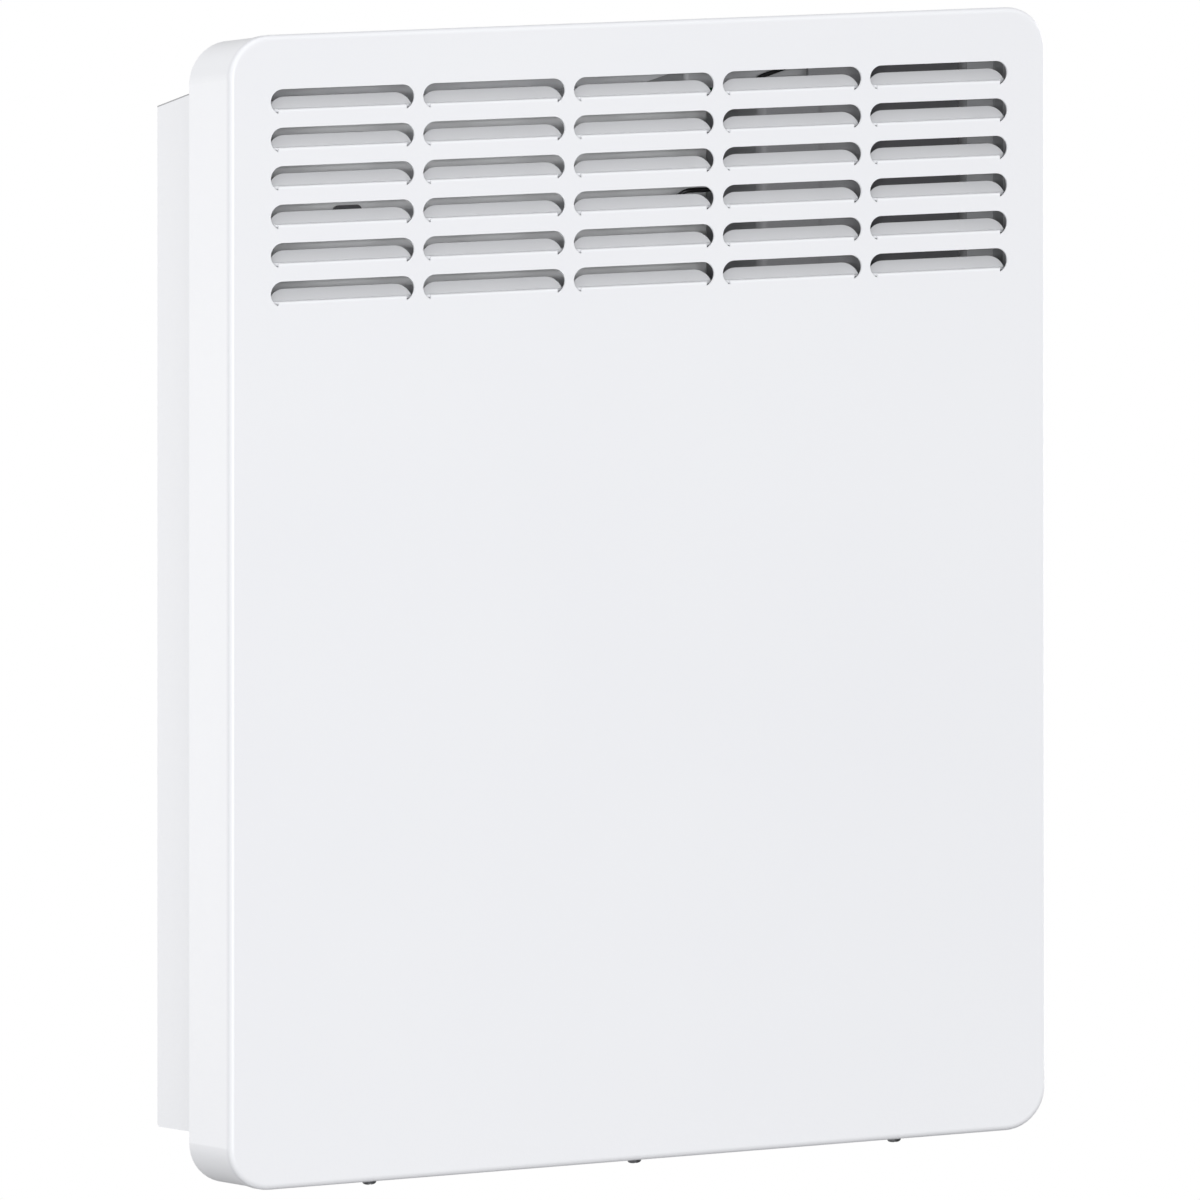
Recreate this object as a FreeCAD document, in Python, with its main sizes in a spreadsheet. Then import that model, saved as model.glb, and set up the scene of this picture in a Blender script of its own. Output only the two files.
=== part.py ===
import FreeCAD, Part
import math
import os
import Sketcher
from types import SimpleNamespace
from FreeCAD import Rotation, Vector

# Wall-hung panel convector heater, in millimetres and degrees.
# The wall is the plane y = 0 and the heater hangs on its -y side, so a depth is a distance from the wall, y = -depth.
# x runs to the right as the user faces the heater, z is up, and the origin is the middle of the wall screws.

SIZES = [
    # Front cover, a drawn steel pan
    ("overall_depth", "123", "wall to front face"),
    ("cover_width", "348", "front cover, side to side"),
    ("cover_height", "450", "front cover, bottom to top"),
    ("cover_depth", "47.5", "front face to the cover's back edge"),
    ("cover_sheet", "1", "cover steel"),
    ("corner_radius", "17", "cover's outline corners"),
    ("front_edge_radius", "2.2", "rounding from the front to the sides"),
    ("bead_depth", "7", "depth of the bead round the front"),
    ("bead_step", "0.4", "how far the bead stands proud of the sides"),
    # Louvres, lanced from the cover
    ("slot_length", "59.8", "louvre slot, end to end"),
    ("slot_height", "9.8", "louvre slot, bottom to top"),
    ("slot_columns", "5", "slots side by side"),
    ("slot_rows", "6", "slots one above the other"),
    ("column_pitch", "63.5", "slot to slot, sideways"),
    ("row_pitch", "15", "slot to slot, downwards"),
    ("slot_top_margin", "21.4", "cover's top edge to the first row"),
    ("flap_root", "0.9", "strip left under the flap"),
    ("flap_relief", "3.2", "cut left open at each end of the strip"),
    ("flap_fold", "80", "fold from the cover's front to the flap's ledge"),
    ("flap_bend_radius", "1.1", "outside of that fold"),
    ("flap_ledge", "2.1", "ledge that sets the flap back"),
    ("flap_lean", "19", "flap's lean from the cover's plane"),
    ("flap_kerf", "0.3", "flap's ends inside the slot's ends"),
    ("flap_trim", "0.34", "sheet lost along the flap's free edge"),
    ("flap_corner", "7", "flap's free corners, more than the flap's height"),
    # Cover screws
    ("cover_screw_pitch", "112", "screw to screw along the bottom edge"),
    ("cover_screw_setback", "10.5", "screw axis behind the front face"),
    ("screw_radius", "1.75", "screw shank"),
    ("screw_length", "9", "screw shank under its head"),
    ("screw_head_radius", "3.3", "pan head"),
    ("screw_head_height", "2.3", "pan head"),
    ("screw_play", "0.45", "clearance hole over the shank"),
    ("thread_play", "0.05", "tapped hole over the shank"),
    # Rear housing, a folded steel box behind the cover
    ("housing_sheet", "1", "housing steel"),
    ("housing_side_inset", "13.3", "cover's side to the housing's side"),
    ("housing_bottom_inset", "18.6", "cover's bottom to the housing's bottom"),
    ("housing_top_inset", "16.3", "cover's top to the housing's top at its front"),
    ("housing_top_drop", "7", "fall of the housing's top towards the wall"),
    ("wall_gap", "2", "wall to the housing's back edge"),
    ("housing_corner", "2.2", "housing's lower back corner"),
    ("panel_recess", "10", "housing's back edge to its rear panel"),
    ("panel_flange", "8", "rear panel's side flanges"),
    ("lip_depth", "10", "lip inside the cover's back edge"),
    ("lip_gap", "0.3", "lip to the cover"),
    ("tab_width", "22", "tab that takes a cover screw"),
    ("tab_margin", "6", "tab past the screw axis"),
    # Air inlet in the housing's bottom
    ("inlet_length", "50", "inlet slot, end to end"),
    ("inlet_width", "7", "inlet slot, across"),
    ("inlet_columns", "4", "inlet slots side by side"),
    ("inlet_rows", "4", "inlet slots from back to front"),
    ("inlet_column_pitch", "57", "inlet slot to slot, sideways"),
    ("inlet_front_gap", "10.5", "air inlet's front row to the housing's flange"),
    ("inlet_side_gap", "9.7", "housing's left side inside to the air inlet"),
    ("inlet_back", "23", "wall to the inlet's back row"),
    # Wall bracket
    ("bracket_sheet", "1.5", "bracket steel"),
    ("bracket_side", "18", "hooks' middle to the bracket's side edges"),
    ("bracket_end", "20", "wall screws to the bracket's ends"),
    ("bracket_leg", "34", "bracket's upright legs"),
    ("bracket_bar", "44", "bracket's cross bars"),
    ("bracket_corner", "6", "bracket's outer corners"),
    ("wall_hole_spacing_x", "100", "wall screws, sideways"),
    ("wall_hole_spacing_z", "300", "wall screws, up and down"),
    ("wall_hole_radius", "3.25", "wall screw hole"),
    ("hook_spacing", "170.6", "hooks, sideways"),
    ("hook_lift", "6", "upper hooks' seat above the upper wall screws"),
    ("hook_width", "12", "hook"),
    ("hook_reach", "17.5", "wall to the hook's front"),
    ("hook_lip", "2.6", "hook's upturned lip above its seat"),
    ("hook_corner", "2.2", "lip's round corners"),
    ("hook_slot_height", "10.5", "slot in the rear panel for a hook"),
    ("hook_side_play", "2", "hook slot beside the hook"),
    ("tongue_width", "24", "locking tongue under the housing"),
    ("tongue_reach", "18", "wall to the tongue's front"),
    ("tongue_gap", "0.2", "tongue to the housing's bottom"),
    ("lock_screw_depth", "9", "wall to the locking screw"),
    # Heating element
    ("fin_gap", "2.2", "rivet heads on the heat shield to the fins"),
    ("element_rise", "85.4", "housing's floor to the element's middle"),
    ("tube_radius", "4.25", "sheathed heating tube"),
    ("tube_spacing", "32", "between the tube's two legs"),
    ("tube_bend_gap", "39.7", "housing's left side inside to the start of the tube's bend"),
    ("tube_reach", "19", "partition to the tube's ends"),
    ("fin_count", "36", "aluminium fins"),
    ("fin_end_gap", "33.4", "last fin to the partition"),
    ("fin_sheet", "0.6", "fin"),
    ("fin_width", "66", "fin, in depth"),
    ("fin_height", "40", "fin, up and down"),
    ("fin_start_gap", "55.7", "housing's left side inside to the first fin"),
    ("fin_corner", "5", "fin's corners"),
    ("tube_play", "0.05", "holes over the tube"),
    ("bead_radius", "4", "ceramic bead on a tube end"),
    ("bead_length", "6", "ceramic bead"),
    ("pin_radius", "1.6", "element's terminal pin"),
    ("pin_length", "14", "terminal pin past the tube's end"),
    # Sheet metal inside
    ("inner_sheet", "0.8", "shield, partition and brackets"),
    ("shield_gap", "9", "rear panel to the heat shield"),
    ("shield_side_gap", "9.7", "housing's left side inside to the heat shield"),
    ("shield_end_gap", "7", "heat shield to the partition"),
    ("shield_top_gap", "15", "heat shield's top foot to the deflector's"),
    ("shield_floor_gap", "8.4", "heat shield's bottom foot to the housing's floor"),
    ("foot_width", "12", "feet of the inner sheets"),
    ("wiring_width", "53.9", "partition to the housing's right side inside"),
    ("partition_front_gap", "6", "partition to the front face"),
    ("partition_top_gap", "2.2", "partition to the deflector's plate"),
    ("bracket_side_gap", "47.7", "housing's left side inside to the element bracket"),
    ("rivet_radius", "1.6", "rivets of the inner sheets"),
    ("rivet_head_radius", "3", "rivet head"),
    ("rivet_head_height", "1.2", "rivet head"),
    ("rivet_tail", "0.8", "rivet past the sheets"),
    ("shield_rivet_inset", "29", "heat shield's edges to its rivets"),
    # Overheat limiter on the partition
    ("limiter_rise", "60", "limiter above the element"),
    ("limiter_cap_radius", "8", "limiter's sensing cap"),
    ("limiter_cap_length", "7", "cap through the partition"),
    ("limiter_flange_radius", "11", "limiter's flange"),
    ("limiter_flange", "1", "limiter's flange, thick"),
    ("limiter_base_radius", "8.5", "limiter's base"),
    ("limiter_base_length", "10", "limiter's base"),
    ("limiter_hole_play", "0.3", "hole over the cap"),
    ("limiter_rivet", "13", "limiter's middle to its rivets"),
    ("fuse_radius", "3", "thermal fuse"),
    ("fuse_length", "16", "thermal fuse"),
    ("fuse_gap", "20", "thermal fuse's clip to the control box, sideways"),
    ("fuse_drop", "22", "shield's top down to the clip's rivet"),
    ("spade_width", "6.3", "push-on terminal"),
    ("spade_sheet", "0.8", "push-on terminal"),
    ("spade_length", "8", "push-on terminal"),
    # Control box behind the right-hand louvres
    ("box_width", "90", "control box, side to side"),
    ("box_side_gap", "9.7", "control box to the housing's right side inside"),
    ("box_top_gap", "11.7", "control box to the housing's top at the back"),
    ("box_height", "86", "control box"),
    ("box_back", "39", "wall to the control box's back"),
    ("box_front", "97", "wall to the control box's front"),
    ("box_wall", "2", "control box's walls"),
    ("box_corner", "4", "control box's upright corners"),
    ("box_step", "6", "step in the control box's front"),
    ("box_step_width", "26", "box's front ahead of that step"),
    ("box_screen", "16", "box's front wall above its rim, right of that step"),
    ("boss_radius", "5", "control box's screw bosses"),
    ("boss_spacing", "60", "between the bosses"),
    ("boss_rise", "30", "bosses above the box's bottom"),
    ("deflector_gap", "5", "control box to the heat deflector under it"),
    ("deflector_rim", "4", "deflector past the control box's left side"),
    ("box_entry_gap", "6.2", "partition to the first wire hole in the box's floor"),
    ("box_entry_pitch", "8", "wire hole to wire hole"),
    ("box_entry_depth", "60", "wall to the wire holes"),
    ("fuse_entry_depth", "50", "wall to the fuse lead's hole in the box"),
    ("fuse_entry_rise", "54", "box's bottom to the fuse lead's hole"),
    ("fuse_lane_inset", "7.4", "box's left side to the fuse lead behind it"),
    ("fuse_lane_depth", "35", "wall to the fuse lead behind the box"),
    ("fuse_loop_reach", "24", "fuse lead's loop beside the box"),
    ("fuse_loop_drop", "8", "fuse lead's hole to the bottom of its loop"),
    # Control panel on the housing's top
    ("bezel_length", "114", "control panel, side to side"),
    ("bezel_side_gap", "9.7", "control panel to the housing's right side inside"),
    ("panel_margin", "5.25", "control panel to the rear panel and to the cover's back edge"),
    ("bezel_height", "2.4", "control panel above the housing"),
    ("bezel_corner", "5", "control panel's corners"),
    ("bezel_edge", "1", "rounding of the control panel's top"),
    ("bezel_rim", "5", "control panel past its skirt"),
    ("skirt_height", "9", "skirt below the housing's top"),
    ("skirt_wall", "2", "skirt"),
    ("skirt_play", "0.6", "housing cut-out round the skirt"),
    ("window_length", "42", "display window"),
    ("window_width", "22", "display window"),
    ("window_thick", "1.4", "display window"),
    ("window_ledge", "2", "ledge under the window"),
    ("window_play", "0.15", "recess round the window"),
    ("window_place", "27", "panel's middle to the window's middle"),
    ("button_length", "15", "button, back to front"),
    ("button_width", "10", "button, side to side"),
    ("button_proud", "1", "button above the control panel"),
    ("button_corner", "2", "button's corners"),
    ("button_edge", "0.6", "rounding of the button's top"),
    ("button_play", "0.3", "hole round a button"),
    ("button_flange", "1.2", "flange that keeps the button in"),
    ("button_flange_rim", "0.8", "flange past the button"),
    ("button_pitch", "13", "button to button"),
    ("button_first", "4", "panel's middle to the first button"),
    ("button_seat_gap", "0.1", "flange to the control panel's underside"),
    ("stem_radius", "1.4", "button's stem"),
    ("stem_length", "5.2", "button's stem"),
    ("board_thick", "1.6", "circuit boards"),
    ("key_size", "6.2", "key switch"),
    ("key_height", "4.3", "key switch"),
    ("key_hole_play", "0.2", "key switch's hole round the stem"),
    # Power board in the control box
    ("power_board_width", "82", "power board"),
    ("power_board_depth", "44", "power board"),
    ("power_board_rise", "8", "power board above the box's floor"),
    ("post_radius", "3", "posts under the power board"),
    ("board_margin", "5", "power board's edge to what stands on it"),
    ("relay_length", "29", "power relay"),
    ("relay_width", "13", "power relay"),
    ("relay_height", "25", "power relay"),
    ("capacitor_radius", "8", "capacitor"),
    ("capacitor_height", "26", "capacitor"),
    # Mains rocker switch in the housing's right side
    ("switch_drop", "52", "control box's bottom down to the switch's middle"),
    ("switch_bezel_height", "34", "switch bezel, up and down"),
    ("switch_bezel_width", "25", "switch bezel, back to front"),
    ("switch_bezel_thick", "2", "switch bezel"),
    ("switch_barrel_height", "29.6", "switch body, up and down"),
    ("switch_barrel_width", "21.6", "switch body, back to front"),
    ("switch_barrel_length", "25", "switch body behind the bezel"),
    ("switch_play", "0.2", "housing cut-out round the switch body"),
    ("switch_spade", "8", "switch's middle to its terminals"),
    ("rocker_height", "22.8", "rocker, end to end"),
    ("rocker_width", "16.8", "rocker, across"),
    ("rocker_rise", "6.5", "rocker's ends above its pin"),
    ("rocker_dip", "1.6", "hollow in the rocker's face"),
    ("rocker_sole", "3", "rocker below its pin"),
    ("rocker_gap", "0.3", "rocker to the switch body, at the sides"),
    ("rocker_end_gap", "1.2", "rocker to the switch body, at the ends"),
    ("rocker_tilt", "8", "rocker's lean to either side"),
    ("rocker_pin_radius", "1.5", "rocker's pins"),
    ("rocker_pin_length", "1.3", "rocker's pins past its sides"),
    ("rocker_pin_play", "0.06", "pins in the switch body"),
    ("rocker_pin_inset", "3", "switch bezel's face down to the pins"),
    ("rocker_well", "9", "switch well below the pins"),
    # Mains inlet and sensor
    ("inlet_gap", "26.2", "partition to the middle of the wiring space"),
    ("gland_depth", "40", "wall to the cable gland"),
    ("gland_bore", "4.5", "bore of the gland"),
    ("gland_barrel", "7", "gland's barrel"),
    ("gland_length", "14", "gland's barrel above the housing's bottom"),
    ("gland_play", "0.2", "hole round the gland's barrel"),
    ("gland_flange", "11", "gland's flange"),
    ("gland_flange_thick", "3", "gland's flange"),
    ("gland_nut_radius", "11", "gland's nut, corner to middle"),
    ("gland_nut_thick", "5", "gland's nut"),
    ("block_length", "28", "terminal block, side to side"),
    ("block_height", "22", "terminal block, up and down"),
    ("block_thick", "16", "terminal block off the rear panel"),
    ("block_rise", "66.4", "housing's floor to the terminal block's middle"),
    ("pole_pitch", "10", "pole to pole"),
    ("pole_radius", "2.6", "screw well of a pole"),
    ("pole_well", "6", "screw well of a pole, deep"),
    ("wire_hole_radius", "2.2", "wire hole of a pole"),
    ("pole_hole_depth", "8", "wire hole of a pole, deep"),
    ("pole_hole_rise", "11", "rear panel to the wire holes"),
    ("earth_rise", "29.4", "housing's floor to the earth screw"),
    ("earth_tail", "12", "earth terminal's tail"),
    ("sensor_depth", "66", "wall to the room sensor"),
    ("sensor_radius", "2.5", "room sensor"),
    ("sensor_length", "12", "room sensor"),
    ("clip_wall", "1.5", "sensor's clip"),
    ("clip_height", "16", "sensor's clip above the housing's bottom"),
    ("clip_peg", "1.6", "clip's peg through the housing's bottom"),
    ("wire_radius", "1.2", "wires inside"),
    ("lead_radius", "0.9", "leads of the sensor, fuse and display"),
    ("wire_bend", "7", "wires' bends"),
    ("wire_tight_bend", "5", "tight bends of the leads and the earth wire"),
    ("wire_play", "0.3", "holes round the wires"),
    ("wire_lane", "7.2", "partition to the switch wires"),
    ("wire_exit", "14", "straight run of a wire before its first bend"),
    ("wire_entry", "22", "straight run of a wire into the control box"),
    ("wire_sway", "8", "sideways ease of a wire"),
    ("sensor_lane", "26", "sensor to its lead's run, in depth"),
    ("display_lead_depth", "78", "wall to the display lead's loop"),
    ("display_lead_inset", "6", "control box's left side to the display lead"),
    ("display_lead_rise", "11.3", "display lead straight up past the box's top"),
    ("display_lead_run", "16.7", "display lead's slant, sideways"),
    ("display_lead_climb", "5", "display lead's slant, upwards"),
    ("display_lead_level", "30.7", "display lead's level run"),
    ("display_lead_dip", "2", "display lead's low point under the box's top"),
    ("display_lead_end", "56", "wall to the display lead's end on the control board"),
]

doc = FreeCAD.newDocument("convector_heater")
sheet = doc.addObject("Spreadsheet::Sheet", "Sizes")
for row, (alias, number, meaning) in enumerate(SIZES, start=1):
    sheet.set(f"A{row}", meaning)
    sheet.set(f"B{row}", number)
    sheet.setAlias(f"B{row}", alias)
doc.recompute()


class Size:
    """An amount that keeps its number and the sheet expression that it comes from."""

    def __init__(self, number, text):
        self.number = number
        self.text = text

    def __float__(self):
        return float(self.number)

    def __add__(self, other):
        other = as_size(other)
        return Size(self.number + other.number, f"({self.text} + {other.text})")

    def __sub__(self, other):
        other = as_size(other)
        return Size(self.number - other.number, f"({self.text} - {other.text})")

    def __mul__(self, other):
        other = as_size(other)
        return Size(self.number * other.number, f"({self.text} * {other.text})")

    def __truediv__(self, other):
        other = as_size(other)
        return Size(self.number / other.number, f"({self.text} / {other.text})")

    def __neg__(self):
        return Size(-self.number, f"(0 - {self.text})")

    def __radd__(self, other):
        return as_size(other) + self

    def __rsub__(self, other):
        return as_size(other) - self

    def __rmul__(self, other):
        return as_size(other) * self


def as_size(amount):
    """A plain number as a Size."""
    if isinstance(amount, Size):
        return amount
    return Size(amount, f"{amount:g}")


def sine(angle):
    return Size(math.sin(math.radians(angle.number)), f"sin({angle.text})")


def cosine(angle):
    return Size(math.cos(math.radians(angle.number)), f"cos({angle.text})")


def root(amount):
    return Size(math.sqrt(amount.number), f"sqrt({amount.text})")


S = SimpleNamespace(**{alias: Size(float(number), f"Sizes.{alias}") for alias, number, meaning in SIZES})
ZERO = as_size(0)
pieces = []


def bind(thing, path, amount):
    """Tie a property to the sheet."""
    thing.setExpression(path, as_size(amount).text)


def place(thing, x, y, z):
    """Tie the position of a piece to the sheet."""
    bind(thing, "Placement.Base.x", x)
    bind(thing, "Placement.Base.y", y)
    bind(thing, "Placement.Base.z", z)


# Sketches and features of a body

def new_body(name):
    """A body that becomes one node of the part."""
    body = doc.addObject("PartDesign::Body", name)
    pieces.append(body)
    return body


def origin_feature(body, role):
    return next(feature for feature in body.Origin.OriginFeatures if feature.Role == role)


def new_sketch(body, plane, height=ZERO):
    """A sketch on one of the body's own planes, moved along that plane's normal."""
    sketch = body.newObject("Sketcher::SketchObject", f"{body.Name}_sketch")
    sketch.AttachmentSupport = [(origin_feature(body, f"{plane}_Plane"), "")]
    sketch.MapMode = "FlatFace"
    bind(sketch, "AttachmentOffset.Base.z", height)
    return sketch


def dimension(sketch, kind, geometry, point, amount):
    """Dimension a point from the sketch's origin."""
    amount = as_size(amount)
    index = sketch.addConstraint(Sketcher.Constraint(kind, -1, 1, geometry, point, amount.number))
    sketch.setExpression(f"Constraints[{index}]", amount.text)


def dimension_radius(sketch, geometry, amount):
    index = sketch.addConstraint(Sketcher.Constraint("Radius", geometry, float(amount)))
    sketch.setExpression(f"Constraints[{index}]", as_size(amount).text)


def flat(x, y):
    return Vector(float(x), float(y), 0)


def polygon(sketch, corners):
    """A closed outline of straight lines through the corners."""
    first = sketch.GeometryCount
    for (x0, y0), (x1, y1) in zip(corners, corners[1:] + corners[:1]):
        sketch.addGeometry(Part.LineSegment(flat(x0, y0), flat(x1, y1)), False)
    for step, (x, y) in enumerate(corners):
        before = first + (step - 1) % len(corners)
        sketch.addConstraint(Sketcher.Constraint("Coincident", before, 2, first + step, 1))
        dimension(sketch, "DistanceX", first + step, 1, x)
        dimension(sketch, "DistanceY", first + step, 1, y)


def rectangle(sketch, left, right, low, high):
    polygon(sketch, [(left, low), (right, low), (right, high), (left, high)])


def arc(sketch, x, y, radius, start, end):
    circle = Part.Circle(flat(x, y), Vector(0, 0, 1), float(radius))
    return sketch.addGeometry(Part.ArcOfCircle(circle, math.radians(start), math.radians(end)), False)


def rounded(sketch, left, right, low, high, radius):
    """A rectangle with round corners, drawn anticlockwise from its lower side."""
    left, right, low, high, radius = (as_size(amount) for amount in (left, right, low, high, radius))
    first = sketch.GeometryCount
    sketch.addGeometry(Part.LineSegment(flat(left + radius, low), flat(right - radius, low)), False)
    arc(sketch, right - radius, low + radius, radius, 270, 360)
    sketch.addGeometry(Part.LineSegment(flat(right, low + radius), flat(right, high - radius)), False)
    arc(sketch, right - radius, high - radius, radius, 0, 90)
    sketch.addGeometry(Part.LineSegment(flat(right - radius, high), flat(left + radius, high)), False)
    arc(sketch, left + radius, high - radius, radius, 90, 180)
    sketch.addGeometry(Part.LineSegment(flat(left, high - radius), flat(left, low + radius)), False)
    arc(sketch, left + radius, low + radius, radius, 180, 270)
    for step in range(8):
        here = first + step
        sketch.addConstraint(Sketcher.Constraint("Tangent", here, 2, first + (step + 1) % 8, 1))
    for side, direction in ((0, "Horizontal"), (2, "Vertical"), (4, "Horizontal"), (6, "Vertical")):
        sketch.addConstraint(Sketcher.Constraint(direction, first + side))
    dimension(sketch, "DistanceY", first, 1, low)
    dimension(sketch, "DistanceX", first + 2, 1, right)
    dimension(sketch, "DistanceY", first + 4, 1, high)
    dimension(sketch, "DistanceX", first + 6, 1, left)
    for corner in (1, 3, 5, 7):
        dimension_radius(sketch, first + corner, radius)


def obround(sketch, left, right, low, high):
    """A slot with half-round ends, lying along the sketch's x."""
    radius = (high - low) / 2
    first = sketch.GeometryCount
    sketch.addGeometry(Part.LineSegment(flat(left + radius, low), flat(right - radius, low)), False)
    arc(sketch, right - radius, low + radius, radius, -90, 90)
    sketch.addGeometry(Part.LineSegment(flat(right - radius, high), flat(left + radius, high)), False)
    arc(sketch, left + radius, low + radius, radius, 90, 270)
    for step in range(4):
        sketch.addConstraint(Sketcher.Constraint("Tangent", first + step, 2, first + (step + 1) % 4, 1))
    sketch.addConstraint(Sketcher.Constraint("Horizontal", first))
    sketch.addConstraint(Sketcher.Constraint("Horizontal", first + 2))
    dimension(sketch, "DistanceY", first, 1, low)
    dimension(sketch, "DistanceY", first + 2, 1, high)
    dimension(sketch, "DistanceX", first + 1, 3, right - radius)
    dimension(sketch, "DistanceX", first + 3, 3, left + radius)


def circle(sketch, x, y, radius):
    geometry = sketch.addGeometry(Part.Circle(flat(x, y), Vector(0, 0, 1), float(radius)), False)
    dimension(sketch, "DistanceX", geometry, 3, x)
    dimension(sketch, "DistanceY", geometry, 3, y)
    dimension_radius(sketch, geometry, radius)


def extrude(body, kind, sketch, length, side):
    """A pad or pocket: side is ahead or behind the sketch's normal, or both."""
    feature = body.newObject(f"PartDesign::{kind}", f"{body.Name}_{kind.lower()}")
    feature.Profile = sketch
    feature.SideType = "Symmetric" if side == "both" else "One side"
    feature.Reversed = (side == "behind") if kind == "Pad" else (side == "ahead")
    bind(feature, "Length", length)
    body.Tip = feature
    return feature


def pad(body, sketch, length, side="ahead"):
    return extrude(body, "Pad", sketch, length, side)


def pocket(body, sketch, length, side="behind"):
    """Cuts, and stops the build if nothing was cut away."""
    before = body.Tip
    feature = extrude(body, "Pocket", sketch, length, side)
    doc.recompute()
    if feature.Shape.Volume > before.Shape.Volume * (1 - 1e-9):
        raise RuntimeError(f"{feature.Name} cuts nothing")
    return feature


def grid(body, features, axis, pitch, count, second_axis=None, second_pitch=None, second_count=None):
    """Repeats features in a row, or in rows and columns. An axis with a minus runs the other way."""
    pattern = body.newObject("PartDesign::LinearPattern", f"{body.Name}_grid")
    pattern.Originals = features
    pattern.Direction = (origin_feature(body, f"{axis[-1]}_Axis"), [""])
    pattern.Reversed = axis[0] == "-"
    pattern.Mode = "Spacing"
    bind(pattern, "Offset", pitch)
    bind(pattern, "Occurrences", count)
    pattern.Spacings = [-1.0] * (int(float(count)) - 1)
    if second_axis:
        pattern.Direction2 = (origin_feature(body, f"{second_axis[-1]}_Axis"), [""])
        pattern.Reversed2 = second_axis[0] == "-"
        pattern.Mode2 = "Spacing"
        bind(pattern, "Offset2", second_pitch)
        bind(pattern, "Occurrences2", second_count)
        pattern.Spacings2 = [-1.0] * (int(float(second_count)) - 1)
    body.Tip = pattern
    return pattern


def round_edges(body, radius, chosen):
    """Fillets the tip's edges for which chosen(edge) is true."""
    doc.recompute()
    base = body.Tip
    names = [f"Edge{number}" for number, edge in enumerate(base.Shape.Edges, start=1) if chosen(edge)]
    feature = body.newObject("PartDesign::Fillet", f"{body.Name}_fillet")
    feature.Base = (base, names)
    bind(feature, "Radius", radius)
    body.Tip = feature
    return feature


def lies_at(edge, axis, amount):
    """Whether an edge lies in the plane where the axis has that amount."""
    box = edge.BoundBox
    low, high = getattr(box, f"{axis}Min"), getattr(box, f"{axis}Max")
    return abs(low - float(amount)) < 1e-4 and abs(high - float(amount)) < 1e-4


# Primitives

def block(name, x, y, z):
    """A box between pairs of x, y and z."""
    box = doc.addObject("Part::Box", name)
    bind(box, "Length", x[1] - x[0])
    bind(box, "Width", y[1] - y[0])
    bind(box, "Height", z[1] - z[0])
    place(box, x[0], y[0], z[0])
    return box


TURNS = {
    "x": Rotation(Vector(0, 1, 0), 90),
    "-x": Rotation(Vector(0, 1, 0), -90),
    "y": Rotation(Vector(1, 0, 0), -90),
    "-y": Rotation(Vector(1, 0, 0), 90),
    "z": Rotation(),
    "-z": Rotation(Vector(1, 0, 0), 180),
}


def rod(name, start, axis, radius, length):
    """A cylinder from a point along an axis."""
    cylinder = doc.addObject("Part::Cylinder", name)
    cylinder.Placement.Rotation = TURNS[axis]
    bind(cylinder, "Radius", radius)
    bind(cylinder, "Height", length)
    place(cylinder, *start)
    return cylinder


def joined(name, parts):
    fusion = doc.addObject("Part::MultiFuse", name)
    fusion.Shapes = parts
    return fusion


def cut(name, base, tools):
    """A base with one or more tools taken out of it."""
    result = doc.addObject("Part::Cut", name)
    result.Base = base
    if len(tools) > 1:
        result.Tool = joined(f"{name}_tools", tools)
    else:
        result.Tool = tools[0]
    return result


def group(name, parts):
    """Separate solids that share one node."""
    compound = doc.addObject("Part::Compound", name)
    compound.Links = parts
    return compound


def node(thing):
    pieces.append(thing)
    return thing


def screw(name, seat, axis, length=S.screw_length):
    """A pan-head screw whose head sits on the seat and whose shank runs along the axis."""
    body = doc.addObject("PartDesign::Body", name)
    body.Placement.Rotation = TURNS[axis]
    place(body, *seat)
    sketch = new_sketch(body, "XZ")
    crown = S.screw_head_height * 0.45
    shoulder = S.screw_head_radius * 0.8
    polygon(sketch, [
        (ZERO, -S.screw_head_height), (shoulder, -S.screw_head_height), (S.screw_head_radius, -crown),
        (S.screw_head_radius, ZERO), (S.screw_radius, ZERO), (S.screw_radius, length), (ZERO, length)])
    turned = body.newObject("PartDesign::Revolution", f"{name}_turned")
    turned.Profile = sketch
    turned.ReferenceAxis = (sketch, ["V_Axis"])
    turned.Angle = 360
    body.Tip = turned
    return body


def rivet(name, seat, axis, grip):
    """A flat-head rivet whose head sits on the seat and whose shank runs along the axis through the grip."""
    x, y, z = seat
    step = {"y": (0, 1, 0), "-y": (0, -1, 0), "x": (1, 0, 0), "-x": (-1, 0, 0)}[axis]
    back = [amount - S.rivet_head_height * along for amount, along in zip((x, y, z), step)]
    head = rod(f"{name}_head", back, axis, S.rivet_head_radius, S.rivet_head_height)
    shank = rod(f"{name}_shank", seat, axis, S.rivet_radius, grip)
    return joined(name, [head, shank])


def wire(name, points, radius=S.wire_radius, bend=S.wire_bend):
    """A wire along straight runs joined by tangent arcs."""
    corners = [Vector(*(float(amount) for amount in point)) for point in points]
    edges = []
    last = corners[0]
    for before, corner, after in zip(corners, corners[1:], corners[2:]):
        to_before = (before - corner).normalize()
        to_after = (after - corner).normalize()
        half = to_before.getAngle(to_after) / 2
        reach = float(bend) / math.tan(half)
        start = corner + to_before * reach
        end = corner + to_after * reach
        middle = (to_before + to_after).normalize()
        top = corner + middle * (float(bend) / math.sin(half) - float(bend))
        edges.append(Part.LineSegment(last, start).toShape())
        edges.append(Part.Arc(start, top, end).toShape())
        last = end
    edges.append(Part.LineSegment(last, corners[-1]).toShape())
    path = Part.Wire(edges)
    section = Part.Wire(Part.Circle(corners[0], corners[1] - corners[0], float(radius)).toShape())
    solid = path.makePipeShell([section], True, False)
    measured = math.pi * float(radius) ** 2 * path.Length
    if abs(solid.Volume / measured - 1) > 0.01:
        raise RuntimeError(f"{name} isn't a plain tube")
    thing = doc.addObject("Part::Feature", name)
    thing.Shape = solid
    return node(thing)


# Shared places, worked out from the sizes

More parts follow.
